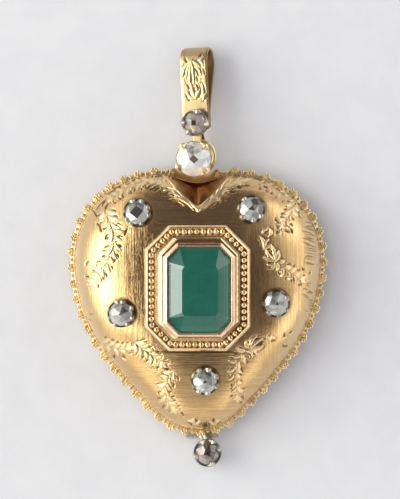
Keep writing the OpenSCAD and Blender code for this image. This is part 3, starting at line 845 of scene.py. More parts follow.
def heart_front():
    """The outer rows from the seat to the rim, moved along their normals by height less depth, then
    the inner rows back to the floor under the seat: one closed band. The rows between the fold and
    the rim lie closer towards the rim, at 1 - (1 - v)^2."""
    way = np.arange(COLUMNS) / COLUMNS * 2
    inner = np.linspace(0, 1, INNER_ROWS)
    rim = 1 - (1 - np.linspace(0, 1, RIM_ROWS + 1)[1:]) ** 2
    outer = front_rows(way, BORDER_W + GAP, DOME_H, CLEFT_Y, inner, rim)
    x, y, z = outer[..., 0], outer[..., 1], outer[..., 2]
    high, deep = stroke_relief(x.reshape(-1), y.reshape(-1), engraving)
    fade = smooth(z, SEAM_Z + FADE_Z[0], SEAM_Z + FADE_Z[1])
    high, deep = high.reshape(x.shape) * fade, deep.reshape(x.shape) * fade
    fold = outer[INNER_ROWS - 1]
    in_cleft = smooth(fold[:, 1] - CLEFT_SLOPE * np.abs(fold[:, 0]), *CLEFT_FROM)
    engraved = 1 - in_cleft * (np.arange(len(outer)) >= INNER_ROWS)[:, None]
    high, deep = high * engraved, deep * engraved
    lip = np.exp(-((np.linalg.norm(outer - fold, axis=-1) / LIP_W) ** 2)) * in_cleft
    high, deep = np.maximum(high, lip * LEAF_HEIGHT), deep * (1 - lip)
    # The hollow is painted shade
    hollow = in_cleft * smooth(y - HOLLOW_SLOPE * np.abs(x - HOLLOW_X), *HOLLOW_FROM)
    hollow[:INNER_ROWS] = 0
    # Darkening stored as cut: engraving dirt in the cuts, and the painted shadow round the collets
    darkening = np.maximum(deep / CUT_DEPTH, COLLET_SHADOW * collet_shadow(x, y))
    facing = normals(outer)
    facing *= np.sign((facing * outer).sum(axis=-1, keepdims=True))
    outer = outer + facing * (high - deep)[..., None]
    inside = front_rows(way, BORDER_W + GAP + SHELL, DOME_H - SHELL, CLEFT_Y - INSIDE_DROP,
                        [0.0, 0.5, 1.0], [0.3, 0.6, 1.0])
    hole = outline(way, BORDER_W + GAP) * HOLE_T
    floor, seat = (np.c_[hole, np.full(COLUMNS, level)] for level in (seat_z - SHELL, seat_z))
    rows = np.concatenate([outer, inside[::-1], floor[None], seat[None]])
    plain = np.zeros((len(rows) - len(outer), COLUMNS))
    relief_and_shade = {"cut": darkening, "leaf": high / LEAF_HEIGHT, "hollow": hollow}
    make(
        "heart_shell_front", grid_shape(rows, round_rows=True), SATIN_GOLD,
        nodes=["heart_front"], slot="satin_gold", crease=50,
        **{name: np.concatenate([numbers, plain]).reshape(-1) for name, numbers in relief_and_shade.items()},
    )


heart_front()

# %% [markdown]
# ## The heart's back
#
# The back is a shallow plain shell with a flat middle, on which the pendant lies. It is turned to
# the wearer, so it has the same satin finish and no engraving. The same outline makes it, with a
# quarter of an ellipse as its section in place of the dome.

# %% Make the back
FLAT_T = 0.55
BACK_COLUMNS, BACK_ROWS = 240, 22


def back_rows(way, inset, low, shares):
    """Rows from the flat middle out to the seam: a quarter of an ellipse."""
    edge = outline(way, inset)
    rows = []
    for u in shares:
        t = mix(FLAT_T, 1, u)
        flat = mix(edge, notched(edge), u**3) * t
        rows.append(np.c_[flat, np.full(len(way), mix(SEAM_Z, low, math.sqrt(1 - u * u)))])
    return np.array(rows)


def heart_back():
    """Flat rings, the outer rows to the seam, the inner rows back, and flat rings on the floor
    inside. The rows lie closer near the seam, at a quarter of a sine."""
    way = np.arange(BACK_COLUMNS) / BACK_COLUMNS * 2
    shares = np.sin(np.linspace(0, 1, BACK_ROWS) * math.pi / 2)
    outer = back_rows(way, BORDER_W + GAP, 0.0, shares)
    inner = back_rows(way, BORDER_W + GAP + SHELL, SHELL, shares[::3])
    middle = outline(way, BORDER_W + GAP) * FLAT_T
    rings = np.array([np.c_[middle * k, np.zeros(BACK_COLUMNS)] for k in (0.02, 0.35, 0.7)])
    floor = np.array([np.c_[middle * k, np.full(BACK_COLUMNS, SHELL)] for k in (0.9, 0.02)])
    rows = np.concatenate([rings, outer, inner[::-1], floor])
    zero = np.zeros(rows.shape[0] * rows.shape[1])
    make("heart_shell_back", grid_shape(rows, capped=True), SATIN_GOLD,
         nodes=["heart_back"], slot="satin_gold", cut=zero, leaf=zero)


heart_back()

# %% [markdown]
# ## Grains
#
# The border and the frame carry balls of gold. A jeweller melts snippets of wire to make them, so
# no two are quite alike. Blender could scatter instances of one ball, but an instance has no points
# of its own to keep dirt in, so one ball of a few dozen faces is repeated by a list of matrices.

# %% Grains
def ball(rings, columns):
    """A unit ball from two angles, with a face at each pole."""
    a = np.linspace(0, np.pi, rings + 2)[1:-1]
    b = np.arange(columns) / columns * TURN
    a, b = np.meshgrid(a, b, indexing="ij")
    points = np.stack([np.sin(a) * np.cos(b), np.sin(a) * np.sin(b), np.cos(a)], axis=-1)
    return grid_shape(points, capped=True)


def balls(centres, radii, tall=1.0, rings=6, columns=9):
    """Balls at the centres, each with its own radius, and all as tall as a share of their width."""
    matrices = np.tile(np.eye(4), (len(centres), 1, 1))
    matrices[:, 0, 0] = matrices[:, 1, 1] = radii
    matrices[:, 2, 2] = np.asarray(radii) * tall
    matrices[:, :3, 3] = centres
    return repeated(ball(rings, columns), matrices)


# %% [markdown]
# ## The granulated border
#
# Round the seam of the two shells runs a strip with clusters of grains soldered on it: six petals
# round a lower grain, then one single grain, beside which the strip recedes a little. The strip is
# painted in shade between and under the grains. Behind the top collet the strip is bare, painted
# darker as shade under the top setting, and reaches up to the ring.
# The strip is one section carried round the notched outline, like a moulding.

# %% The border's measures
CLUSTER_PITCH = 1.9
BORDER_COLUMNS = 960
# A cluster's petals, and its half length and half width to their middles
PETALS, CLUSTER_L, CLUSTER_W = 6, 0.36, 0.23
# How far in the clusters and the single grains lie, the share of the pitch at which the first
# cluster stands, and how far the strip recedes
CLUSTER_INSET, SINGLE_INSET, CLUSTER_START, DENT = 0.45, 0.54, 0.69, 0.2
# The grains' height over the seam, the radii of petals, middle grains and single ones, and how tall
# a grain is for its width
GRAIN_Z, PETAL_R, MIDDLE_R, SINGLE_R, GRAIN_TALL = 0.2, 0.195, 0.17, 0.21, 0.9
# The bare stretch: its middle and half width, and the lowest Y
BARE_X, BARE_W, BARE_Y = -0.25, 2.1, 9.0
# Its outer edge rises by SADDLE in the middle and by SADDLE_SIDE more beside it, and comes down
# again within SADDLE_HALF, which is also how far the painted shade over the bare stretch reaches
SADDLE, SADDLE_SIDE, SIDE_FROM, SADDLE_HALF = 0.26, 0.36, (1.2, 2.4), (2.3, 3.1)
# How dark the painted shade over the bare stretch is
NOTCH_SHADE = 0.42
# The grains are painted in shade at their feet, up to this height over the seam
FEET_SHADE, FEET_Z = 0.3, 0.12
# Columns: inset, height over the seam, share of the dent, painted shade
STRIP = [(BORDER_W, -0.36, 0, 0), (BORDER_W, 0.36, 0, 0.5), (0.82, 0.34, 0, 0.55),
         (0.66, 0.12, 0, 0.65), (0.32, 0.02, 1, 0.4), (0.3, -0.2, 1, 0.4), (0.4, -0.36, 1, 0.2)]

# %% [markdown]
# The grains' places are shares of the way round, so the clusters stay evenly spaced wherever the
# outline bends. The strip and the grains are soldered, so they are made as one piece.

# %% Make the border
def edge_points(way, inset, z):
    """Points over the border, with the notch."""
    return np.c_[notched(outline(way, inset)), np.broadcast_to(z, way.shape)]


def border():
    """A strip whose outer edge recedes by DENT (1 - cos) / 2 between the clusters. A cluster is a
    ring of petals on an oval with a lower grain in it, and a single grain lies between two."""
    hand = np.random.default_rng(5)
    count = int(round(HEART_EDGE / CLUSTER_PITCH))
    way = np.arange(BORDER_COLUMNS) / BORDER_COLUMNS * 2
    dent = DENT * (1 - np.cos((way * count / 2 - CLUSTER_START) * TURN))[:, None] / 2
    rows = np.array([edge_points(way, inset + share * dent, SEAM_Z + z)
                     for inset, z, share, _ in STRIP])
    outer_rows, darkening = np.array([row[2:] for row in STRIP], float).T[..., None]
    aside, bare = np.abs(rows[..., 0] - BARE_X), rows[..., 1] > BARE_Y
    near = 1 - smooth(aside, *SADDLE_HALF)
    saddle = (SADDLE + SADDLE_SIDE * smooth(aside, *SIDE_FROM)) * near
    rows[..., 1] += saddle * outer_rows * bare
    strip = grid_shape(rows, round_rows=True)
    middle = (np.arange(count) + CLUSTER_START) / count * 2
    angle = np.arange(PETALS) / PETALS * TURN + hand.uniform(0, TURN, (count, 1))
    inset = CLUSTER_INSET - CLUSTER_W * np.sin(angle)
    along = CLUSTER_L * np.cos(angle) + hand.normal(0, 0.03, angle.shape)
    at = ((middle[:, None] + along / HEART_EDGE * 2) % 2).reshape(-1)
    grain_z = SEAM_Z + GRAIN_Z
    petals = edge_points(at, inset.reshape(-1, 1), grain_z + hand.normal(0, 0.035, at.size))
    middles = edge_points(middle % 2, CLUSTER_INSET, grain_z)
    single = edge_points((middle + 1 / count) % 2, SINGLE_INSET, grain_z)
    radii = np.r_[PETAL_R * (1 + hand.uniform(-0.16, 0.1, at.size)), np.full(count, MIDDLE_R),
                  SINGLE_R * hand.uniform(0.8, 1.1, count)]
    centres = np.concatenate([petals, middles, single])
    kept = (centres[:, 1] < BARE_Y) | (np.abs(centres[:, 0] - BARE_X) > BARE_W)
    grains = balls(centres[kept], radii[kept], GRAIN_TALL)
    # Painted shade: more over the bare stretch behind the top collet, and at the feet of the grains
    darkening = darkening + NOTCH_SHADE * near * bare * (1.3 - outer_rows)
    feet = FEET_SHADE * (1 - smooth(grains[0][:, 2], SEAM_Z, SEAM_Z + FEET_Z))
    make("granulated_border", joined([strip, grains]), BORDER_GOLD, nodes=["rim_border"],
         slot="border_gold", cut=np.concatenate([darkening.reshape(-1), feet]))


border()

# %% [markdown]
# ## The octagonal frame
#
# The frame is a strip with a section like a small cornice, carried round an octagon: an outer wall,
# a channel for the row of beads, and a band that slopes up to the opening for the emerald. Moving
# the octagon inwards keeps all eight sides parallel, so the section can be given as pairs of inset
# and height, and each pair is one ring of eight corners. Each corner is doubled a little way along
# both sides, which gives the small rounding that wear leaves.

# %% Octagons
FRAME_W, FRAME_L, FRAME_CUT = 12.1, 14.4, 2.75
CORNER_WEAR = 0.064


def octagon(w, l, cut, cut_y=None):
    """Corners of a rectangle whose corners are cut, anticlockwise, at 45 degrees unless the cut
    takes another length of the long side."""
    x, y, down = w / 2, l / 2, cut if cut_y is None else cut_y
    return np.array([(x - cut, -y), (x, down - y), (x, y - down), (x - cut, y),
                     (cut - x, y), (-x, y - down), (-x, down - y), (cut - x, -y)])


def inset_octagon(w, l, cut, inset):
    """The octagon moved inwards on all its sides: the cut shrinks by 2 - sqrt(2) insets."""
    return octagon(w - 2 * inset, l - 2 * inset, cut - inset * (2 - math.sqrt(2)))


def softened(corners):
    """Each corner as two points, a short way along its two sides."""
    after = np.roll(corners, -1, axis=0) - corners
    before = np.roll(corners, 1, axis=0) - corners
    after *= CORNER_WEAR / np.linalg.norm(after, axis=1, keepdims=True)
    before *= CORNER_WEAR / np.linalg.norm(before, axis=1, keepdims=True)
    return np.stack([corners + before, corners + after], axis=1).reshape(-1, 2)


def cornice(rings):
    """A closed strip through octagons, each at its own height."""
    rows = [np.c_[softened(corners), np.full(2 * len(corners), z)] for corners, z in rings]
    return grid_shape(np.array(rows), round_rows=True)


def along_octagon(corners, count):
    """Points evenly spaced round a closed outline, from half a space after its start."""
    closed = np.r_[corners, corners[:1]]
    way = np.r_[0, np.cumsum(np.hypot(*np.diff(closed, axis=0).T))]
    at = (np.arange(count) + 0.5) / count * way[-1]
    return np.c_[np.interp(at, way, closed[:, 0]), np.interp(at, way, closed[:, 1])]


# %% [markdown]
# The beads touch each other, and carry a bright top with painted shade between them. The channel
# is painted in shade, and the right side of the frame and of the collet more so, from one function
# that both use.

# %% Make the frame
BEADS, BEAD_INSET, BEAD_R, BEAD_Z = 57, 0.74, 0.37, 0.56
base_z = seat_z + GAP
# The opening isn't quite in the middle. Its width, length and corner cut, and its place
OPENING, OPENING_AT = (8.48, 11.24, 1.8), (0.19, -0.04)
# Columns: inset and height over the base
FRAME_SECTION = [
    (0.0, -0.25), (0.0, 0.6), (0.02, 0.65), (0.27, 0.91), (0.31, 0.94), (0.35, 0.93), (0.38, 0.86),
    (0.41, 0.5), (0.44, 0.42), (1.06, 0.4), (1.09, 0.44), (1.13, 0.7), (1.17, 0.76), (1.38, 0.81),
    (1.4, 0.775), (1.44, 0.825),
]
# Columns: way out from the opening, and height
OPENING_SECTION = [(0.07, 0.93), (0.04, 0.95), (0.01, 0.92), (0.0, 0.6), (0.0, -0.25)]
# Painted shade fades out over these heights: in the channel, and on the right of the frame, where
# it has a share of its own and comes in along X
CHANNEL_SHADE, CHANNEL_Z, FRAME_TOP = 0.3, (0.45, 0.6), (0.7, 0.85)
RIGHT_SHADE_SHARE, RIGHT_SHADE_X = 0.55, (2.6, 4.4)


def right_shade(points, top):
    """Painted shade on the right, which comes in as x passes its pair of places along X and fades
    out as the height over the base passes the pair top."""
    return RIGHT_SHADE_SHARE * smooth(points[:, 0], *RIGHT_SHADE_X) * (1 - smooth(points[:, 2] - base_z, *top))


def emerald_frame():
    """The cornice with its row of beads, each a little higher or lower and larger or smaller."""
    rings = [(inset_octagon(FRAME_W, FRAME_L, FRAME_CUT, inset), base_z + z)
             for inset, z in FRAME_SECTION]
    rings += [(inset_octagon(*OPENING, -out) + OPENING_AT, base_z + z)
              for out, z in OPENING_SECTION]
    row = along_octagon(inset_octagon(FRAME_W, FRAME_L, FRAME_CUT, BEAD_INSET), BEADS)
    hand = np.random.default_rng(8)
    centres = np.c_[row, np.full(BEADS, base_z + BEAD_Z) + hand.normal(0, 0.02, BEADS)]
    beads = balls(centres, BEAD_R * (1 + hand.uniform(-0.08, 0.03, BEADS)), rings=8, columns=14)
    shape = joined([cornice(rings), beads])
    height = shape[0][:, 2] - base_z
    # Painted shade in the bead channel and on the right of the frame
    darkening = CHANNEL_SHADE * (1 - smooth(height, *CHANNEL_Z)) + right_shade(shape[0], FRAME_TOP)
    make("beaded_frame", shape, FRAME_GOLD, nodes=["emerald_frame"], slot="frame_gold",
         cut=darkening * (height > 0))


emerald_frame()

# %% [markdown]
# ## The emerald's collet
#
# The stone sits in a plain strip of redder gold whose lip was pushed over the girdle, and then run
# with a milling wheel that leaves a row of tiny beads against the stone. The cornice of the frame
# makes the strip, and the same grains, made smaller, are the milled edge.

# %% Make the collet
BEZEL_W, BEZEL_L, BEZEL_CUT = 8.4, 10.85, 1.6
EMERALD_AT = (0.2, -0.2)
MILLED, MILLED_R, MILLED_INSET, MILLED_Z = 110, 0.095, 0.64, 1.48
# Its painted shade low down against the stone and on the right, and the heights over which they
# fade out
COLLET_LOW_SHADE, LOW_TOP, COLLET_RIGHT_SHADE, RIGHT_TOP = 0.8, (0.95, 1.15), 0.6, (1.42, 1.5)
# Columns: inset and height over the base
COLLET_SECTION = [
    (0.02, -0.03), (0.02, 1.1), (0.05, 1.19), (0.1, 1.24), (0.4, 1.45), (0.46, 1.47),
    (0.52, 1.45), (0.56, 1.38), (0.58, 1.26), (0.35, 1.1), (0.35, -0.03),
]


def lip_octagon(inset):
    """The collet's outline moved inwards, a little less at the short sides than at the long."""
    w, l, cut = BEZEL_W - 2 * inset, BEZEL_L - 1.5 * inset, BEZEL_CUT - 0.45 * inset
    return octagon(w, l, cut) + EMERALD_AT


def emerald_collet():
    """The strip with its milled beads, painted in shade low down and on the right."""
    strip = cornice([(lip_octagon(inset), base_z + z) for inset, z in COLLET_SECTION])
    row = along_octagon(lip_octagon(MILLED_INSET), MILLED)
    centres = np.c_[row, np.full(MILLED, base_z + MILLED_Z)]
    shape = joined([strip, balls(centres, np.full(MILLED, MILLED_R), rings=4, columns=8)])
    # Painted shade low down and on the right
    low = 1 - smooth(shape[0][:, 2] - base_z, *LOW_TOP)
    make("rose_gold_collet", shape, ROSE_GOLD, nodes=["emerald_collet"], slot="rose_gold",
         cut=low * COLLET_LOW_SHADE + right_shade(shape[0], RIGHT_TOP) * COLLET_RIGHT_SHADE)


emerald_collet()

# %% [markdown]
# ## The emerald
#
# A step cut is all flat planes: one step of crown facets round a long table, and below the girdle
# two steps of pavilion. The hull of the corner points gives just these planes. Light that enters an
# emerald is mostly swallowed, so it shows a deep body colour under a clear, glossy skin. Natural
# stones have a garden of fine cracks and clouds, which vary the body colour here.

# %% Hulls
def hull(points):
    """The convex hull of a few points as triangles."""
    b = bmesh.new()
    for p in points:
        b.verts.new(p)
    made = bmesh.ops.convex_hull(b, input=b.verts)
    spare = made["geom_interior"] + made["geom_unused"]
    loose = {v for v in spare if isinstance(v, bmesh.types.BMVert)}
    bmesh.ops.delete(b, geom=list(loose), context="VERTS")
    bmesh.ops.triangulate(b, faces=b.faces)
    b.verts.index_update()
    where = np.array([v.co[:] for v in b.verts])
    faces = np.array([[v.index for v in f.verts] for f in b.faces])
    b.free()
    return where, [faces]


# %% [markdown]
# The stone is painted a lighter green towards its right, lower and upper edges, where it is thin,
# than in the middle: painted light that comes back through the edges. The hull needs only the
# eight corners at each step.

# %% Emerald
GIRDLE_Z = seat_z + 1
# Columns: height over the girdle, width, length, corner cut along X and Y, way right and way up
STEP_CUT = [
    (-2.7, 0.5, 2.4, 0.1, 0.1, 0, 0), (-2.1, 2.4, 4.6, 0.55, 0.55, 0, 0),
    (-1.1, 5.0, 7.3, 1.0, 1.0, 0, 0), (-0.1, 7.7, 10.35, 1.5, 1.9, 0, 0),
    (0.1, 7.7, 10.35, 1.5, 1.9, 0, 0), (1.045, 4.12, 5.66, 0.25, 0.4, 0.1, -0.15),
]
# Where the painted light at the stone's right, lower and upper edges begins and ends, in
# millimetres from the middle
RIGHT_EDGE, LOWER_EDGE, UPPER_EDGE = (2.5, 3.6), (3.9, 4.9), (3.9, 4.6)


def emerald_finish():
    """Dark green with clouds and veils, blended to a lighter green by the sum of its edges, which
    is painted light.
    """
    f = Finish("emerald", IOR=1.6, Coat_Weight=1.0, Coat_IOR=1.5, Coat_Roughness=0.02)
    east, north = f.axis("X"), f.axis("Y")
    garden = f.noise((0.5, 0.9, 0.6), 4.0, 0.65)
    veil = f.noise((1.7, 0.6, 1.0), 3.0, 0.6, angle=35)
    deep = f.blend(garden.clipped(0.3, 0.75), rgb(0.005, 0.075, 0.049), rgb(0.010, 0.093, 0.061))
    clouded = f.blend(veil.clipped(0.58, 0.8) * 0.35, deep, rgb(0.02, 0.13, 0.08))
    # Painted light: a lighter green at the right, lower and upper edges
    rim = (east.clipped(*RIGHT_EDGE) * 0.7 + (0 - north).clipped(*LOWER_EDGE) * 0.5
           + north.clipped(*UPPER_EDGE) * 0.4).clipped(0.0, 1.1)
    lit_edges = f.blend(rim, clouded, rgb(0.012, 0.185, 0.092))
    return f.output(Base_Color=lit_edges, Roughness=0.04 + garden * 0.05)


def emerald():
    """The hull of one octagon for each row of the chart."""
    rings = []
    for z, w, l, cut, cut_y, right, up in STEP_CUT:
        corners = octagon(w, l, cut, cut_y) + EMERALD_AT + np.array([right, up])
        rings.append(np.c_[corners, np.full(len(corners), GIRDLE_Z + z)])
    make("emerald_stone", hull(np.concatenate(rings)), emerald_finish(), nodes=["emerald"],
         slot="emerald", crease=0)


emerald()

# %% [markdown]
# ## Rose-cut diamonds
#
# An old rose cut is a low dome of flat facets on a flat base, closed behind over foil, so it looks
# like a small silvery mirror ball: every facet shows another part of the room. The stones were cut
# by eye. Points on a low dome are moved a little at random along it, and their hull gives the
# facets. Real glass over foil would need many bounces of light and is lost in an export, so each
# facet gets a grey tone of its own under a clear coat, as a painter would do it: the tones are
# painted reflections and painted shade.

# %% Diamond finishes
def diamond_finish(name, light, shade):
    """A coated body between light and shade, by the tone of its facet and a ripple across it."""
    f = Finish(name, IOR=1.6, Coat_Weight=0.5, Coat_IOR=1.9, Coat_Roughness=0.02, Metallic=0.2)
    tone = f.attribute("tone")
    ripple = f.noise((1.3, 1.3, 1.3), 3.0, 0.6)
    share = (tone + ripple.clipped(0.3, 0.7) * 0.35 - 0.1).clipped(0.0, 1.0)
    return f.output(Base_Color=f.blend(share, light, shade), Roughness=0.08 + ripple * 0.12)


DIAMOND = diamond_finish("diamond", rgb(0.39, 0.40, 0.375), rgb(0.05, 0.045, 0.035))
WHITE_DIAMOND = diamond_finish("white_diamond", rgb(0.64, 0.65, 0.62), rgb(0.12, 0.10, 0.075))
BROWN_DIAMOND = diamond_finish("brown_diamond", rgb(0.38, 0.325, 0.29), rgb(0.035, 0.025, 0.018))

# %% [markdown]
# The tone of a facet is painted shade: it comes from the side to which it faces, with a little
# chance, and the flattest facets take the darkest tone as a painted dark reflection of the room
# above. Every facet keeps its own three points, so that no tone runs over into the next.

# %% Rose cuts
GIRDLE_POINTS = 14
# Facets that lie flatter than this, as the upward part of their normal, take the darkest tone,
# a painted dark reflection
LEVEL = (0.965, 0.99)


def rose_cut(r, h, seed, table, table_r, middle, start, dark):
    """Facets over a round girdle: rings of points on a dome, whose height is h times (1 - (d/r)^2)
    to the power 0.7, each moved at random, and a hull round them all. The table starts at an angle.
    The tone, which is painted shade, rises with (1 + cos) / 2 of the angle between a facet's side
    and the dark one."""
    hand = np.random.default_rng(seed)
    middle_r = max(0.7, table_r + 0.28)
    low, high = (h * (1 - share**2) ** 0.7 for share in (middle_r, table_r))
    points = []
    # Columns: radius, height, points, how loosely they lie, and the share of a step at which they
    # start, where it isn't left to chance
    for radius, z, count, loose, first in [
        (r, -0.05, GIRDLE_POINTS, 0.0, None),
        (r, 0.1, GIRDLE_POINTS, 0.0, None),
        (middle_r * r, low, middle, 0.08, None),
        (table_r * r, high, table, 0.04, start / 360 * table),
    ]:
        if first is None:
            first = hand.uniform(-0.5, 0.5)
        a = (np.arange(count) + first + hand.uniform(-1, 1, count) * loose * 2) / count * TURN
        d = radius * (1 + hand.uniform(-1, 1, count) * loose)
        points.append(np.c_[d * np.cos(a), d * np.sin(a), np.full(count, z)])
    points, faces = hull(np.concatenate(points))
    corners = points[faces[0]]
    facing = np.cross(corners[:, 1] - corners[:, 0], corners[:, 2] - corners[:, 0])
    level = smooth(np.abs(facing[:, 2]) / np.linalg.norm(facing, axis=1), *LEVEL)
    middles = corners.mean(axis=1)
    away = np.arctan2(middles[:, 1], middles[:, 0]) - math.radians(dark)
    count = len(corners)
    # Painted shade and painted reflection as a tone for each facet
    tone = np.clip(hand.uniform(-0.1, 0.3, count) + 0.5 * (1 + np.cos(away)) / 2 + level, 0, 1)
    return (corners.reshape(-1, 3), [np.arange(3 * count).reshape(-1, 3)]), np.repeat(tone, 3)


# %% [markdown]
# ## Collets
#
# Each diamond sits in a short tube whose upper edge was sawn into claws and pushed over the stone.
# One wall of revolution makes it: a section of radius and height, and a bell curve round each
# claw's direction that pushes the wall out, raises its lip and leans it over the stone. The hollows
# between the claws are dark with dirt.

# %% Claw collet
def claw_collet(section, angles, width, out, up, over, columns=96, strength=1.0):
    """Section rows are radius, height, and the shares of out, up and over that a claw adds there.
    The claws stand at the given angles, each width degrees wide, and each has a strength. The
    second result is the dirt, which is most where the claws are least and the wall is highest."""
    a = np.arange(columns) / columns * TURN
    apart = (a[:, None] - np.radians(angles)[None] + math.pi) % TURN - math.pi
    bell = (strength * np.exp(-((apart / math.radians(width)) ** 2))).sum(axis=1)
    rows, darkening = [], []
    for radius, height, o, u, v in section:
        r = radius + (out * o - over * v) * bell
        rows.append(np.c_[r * np.cos(a), r * np.sin(a), height + up * u * bell])
        darkening.append(np.clip(0.9 - bell, 0, 1) * (0.15 + 0.5 * (o + u > 0.6)))
    return grid_shape(np.array(rows), round_rows=True), np.concatenate(darkening)


# %% [markdown]
# A collet stands on the slope of the dome, and a jeweller leans it only a part of the way, so that
# the stone still looks at whoever looks at the heart. The slope is measured with two small steps.

# %% Places on the dome
LEAN_SHARE = 0.4
SLOPE_STEP = 0.05


def reach(point, inset):
    """Distance from the middle to the outline along the direction of the point, from the nearest of
    many samples of the outline."""
    edge = outline(np.linspace(0, 2, 4001), inset)
    apart = np.angle((edge[:, 0] + 1j * edge[:, 1]) / (point[0] + 1j * point[1]))
    return float(np.hypot(*edge[np.argmin(np.abs(apart))]))


def dome_z(x, y):
    """Height of the dome over a place."""
    return SEAM_Z + DOME_H * float(dome_rise(math.hypot(x, y) / reach((x, y), BORDER_W + GAP)))


def on_dome(x, y):
    """The matrix that stands a shape on the dome and leans it out by a share of the slope."""
    step = SLOPE_STEP
    slope = np.array([dome_z(x + step, y) - dome_z(x - step, y),
                      dome_z(x, y + step) - dome_z(x, y - step)]) / (2 * step)
    downhill = math.degrees(math.atan2(-slope[1], -slope[0]))
    lean = LEAN_SHARE * math.degrees(math.atan(np.hypot(*slope)))
    return shift(x, y, dome_z(x, y)) @ turn("z", downhill) @ turn("y", lean) @ turn("z", -downhill)


# %% [markdown]
# The five stones of the heart differ in seed, table and claws, as the photograph shows. Their claws
# stand nearly evenly round the stone, and some of them are worn down.

# %% Make the five
SMALL_R, SMALL_H, SMALL_Z = 1.38, 0.72, 0.6
# Columns: radius, height, shares of out, up and over
SMALL_SECTION = [
    (1.5, -1.1, 0.0, 0.0, 0.0), (1.58, -0.2, 0.3, 0.0, 0.0), (1.58, 0.3, 0.8, 0.2, 0.0),
    (1.56, 0.56, 1.0, 0.8, 0.1), (1.53, 0.66, 0.9, 1.0, 0.3), (1.47, 0.69, 0.3, 1.0, 0.8),
    (1.42, 0.67, 0.0, 0.9, 1.0), (1.39, 0.62, 0.0, 0.4, 0.8), (1.39, 0.5, 0.0, 0.0, 0.0),
    (1.30, -1.1, 0.0, 0.0, 0.0),
]
# Columns: seed, corners of the table, its radius as a share, points of the middle ring, the angle
# at which the table starts, the side to which the painted shade darkens the stone, and its claws
FIVE = {
    "upper_left": (3, 4, 0.56, 8, 11, 140, 8), "upper_right": (21, 3, 0.3, 6, 80, 30, 7),
    "left": (5, 3, 0.12, 6, 200, 60, 8), "right": (14, 3, 0.16, 7, 90, 120, 7),
    "lower": (9, 3, 0.2, 6, 100, 80, 8),
}
# The seed of the claws is that of the stone and so much more
CLAW_SEED = 100
for name, (*cut_of_stone, claws) in FIVE.items():
    place = on_dome(*SMALL_STONES[name])
    hand = np.random.default_rng(cut_of_stone[0] + CLAW_SEED)
    angles = (np.arange(claws) + hand.uniform(-0.25, 0.25, claws)) * 360 / claws
    angles += hand.uniform(0, 40)
    wall, darkening = claw_collet(SMALL_SECTION, angles, width=13, out=0.1, up=0.26, over=0.3,
                             strength=hand.uniform(0.5, 1.05, claws))
    make(f"silver_collet_{name}", placed(wall, place), SILVER, nodes=[f"collet_{name}"],
         slot="silver", cut=np.clip(1.5 * darkening, 0, 1))
    stone, tone = rose_cut(SMALL_R, SMALL_H, *cut_of_stone)
    make(f"rose_cut_{name}", placed(stone, place @ shift(0, 0, SMALL_Z)), DIAMOND,
         nodes=[f"diamond_{name}"], slot="diamond", crease=0, tone=tone)

# %% [markdown]
# ## The top: ring, collet and the largest diamond
#
# In the notch a round wire ring is soldered to the border, and a cup with four strong claws stands
# over it on a short post. The cup widens upwards, so it is the same kind of wall with a wider
# section, and the ring is a circle of points carried round a circle. A torus primitive would do
# for the ring, but the rule for a wire works along any closed path.

# %% The top's measures
RING_R, WIRE_R = 1.75, 0.28
RING_X, RING_Y = 0.2, 13.1 + RING_R + WIRE_R
TOP_X, TOP_Y, TOP_R, TOP_H = -0.43, 14.8, 2.0, 1.12
CUP_LOW, CUP_HIGH = SEAM_Z + 1.25, SEAM_Z + 2.7
TOP_CLAWS = [48, 132, 205, 318]
RING_COLUMNS = 64
RING_DIRT, CUP_DIRT = 0.3, 0.8
# Columns: height over the seam and radius
POST = [(0.0, 0.5), (0.25, 0.42), (0.9, 0.36), (1.5, 0.4), (1.9, 0.6)]
# Columns as for the small collets
CUP_SECTION = [
    (0.05, CUP_LOW, 0, 0, 0), (0.9, CUP_LOW, 0, 0, 0), (1.1, CUP_LOW + 0.12, 0, 0, 0),
    (1.5, CUP_LOW + 0.5, 0.1, 0, 0), (1.85, CUP_HIGH - 0.5, 0.6, 0, 0),
    (2.03, CUP_HIGH - 0.28, 1, 0.1, 0), (2.06, CUP_HIGH - 0.14, 1, 0.7, 0.1),
    (2.05, CUP_HIGH - 0.08, 0.7, 1, 0.5), (2.02, CUP_HIGH - 0.08, 0.2, 1, 0.9),
    (1.99, CUP_HIGH - 0.12, 0, 0.7, 1), (2.0, CUP_HIGH - 0.3, 0, 0, 0),
    (0.05, CUP_HIGH - 0.3, 0, 0, 0),
]

# %% [markdown]
# Ring, post and cup are soldered, so they are one piece. Its parts lie one after the other in the
# arrays, which makes it easy to give each its own dirt.

# %% Make the top
def wire(path, radius, sides):
    """A round wire along a closed level path: at each point a ring of points across the path."""
    ahead = np.roll(path, -1, axis=0) - np.roll(path, 1, axis=0)
    ahead /= np.linalg.norm(ahead, axis=1, keepdims=True)
    side = np.cross(ahead, [0, 0, 1.0])
    side /= np.linalg.norm(side, axis=1, keepdims=True)
    above = np.cross(side, ahead)
    a = np.arange(sides)[:, None] / sides * TURN
    across = side[:, None] * (radius * np.cos(a)) + above[:, None] * (radius * np.sin(a))
    return grid_shape(path[:, None] + across, round_rows=True)


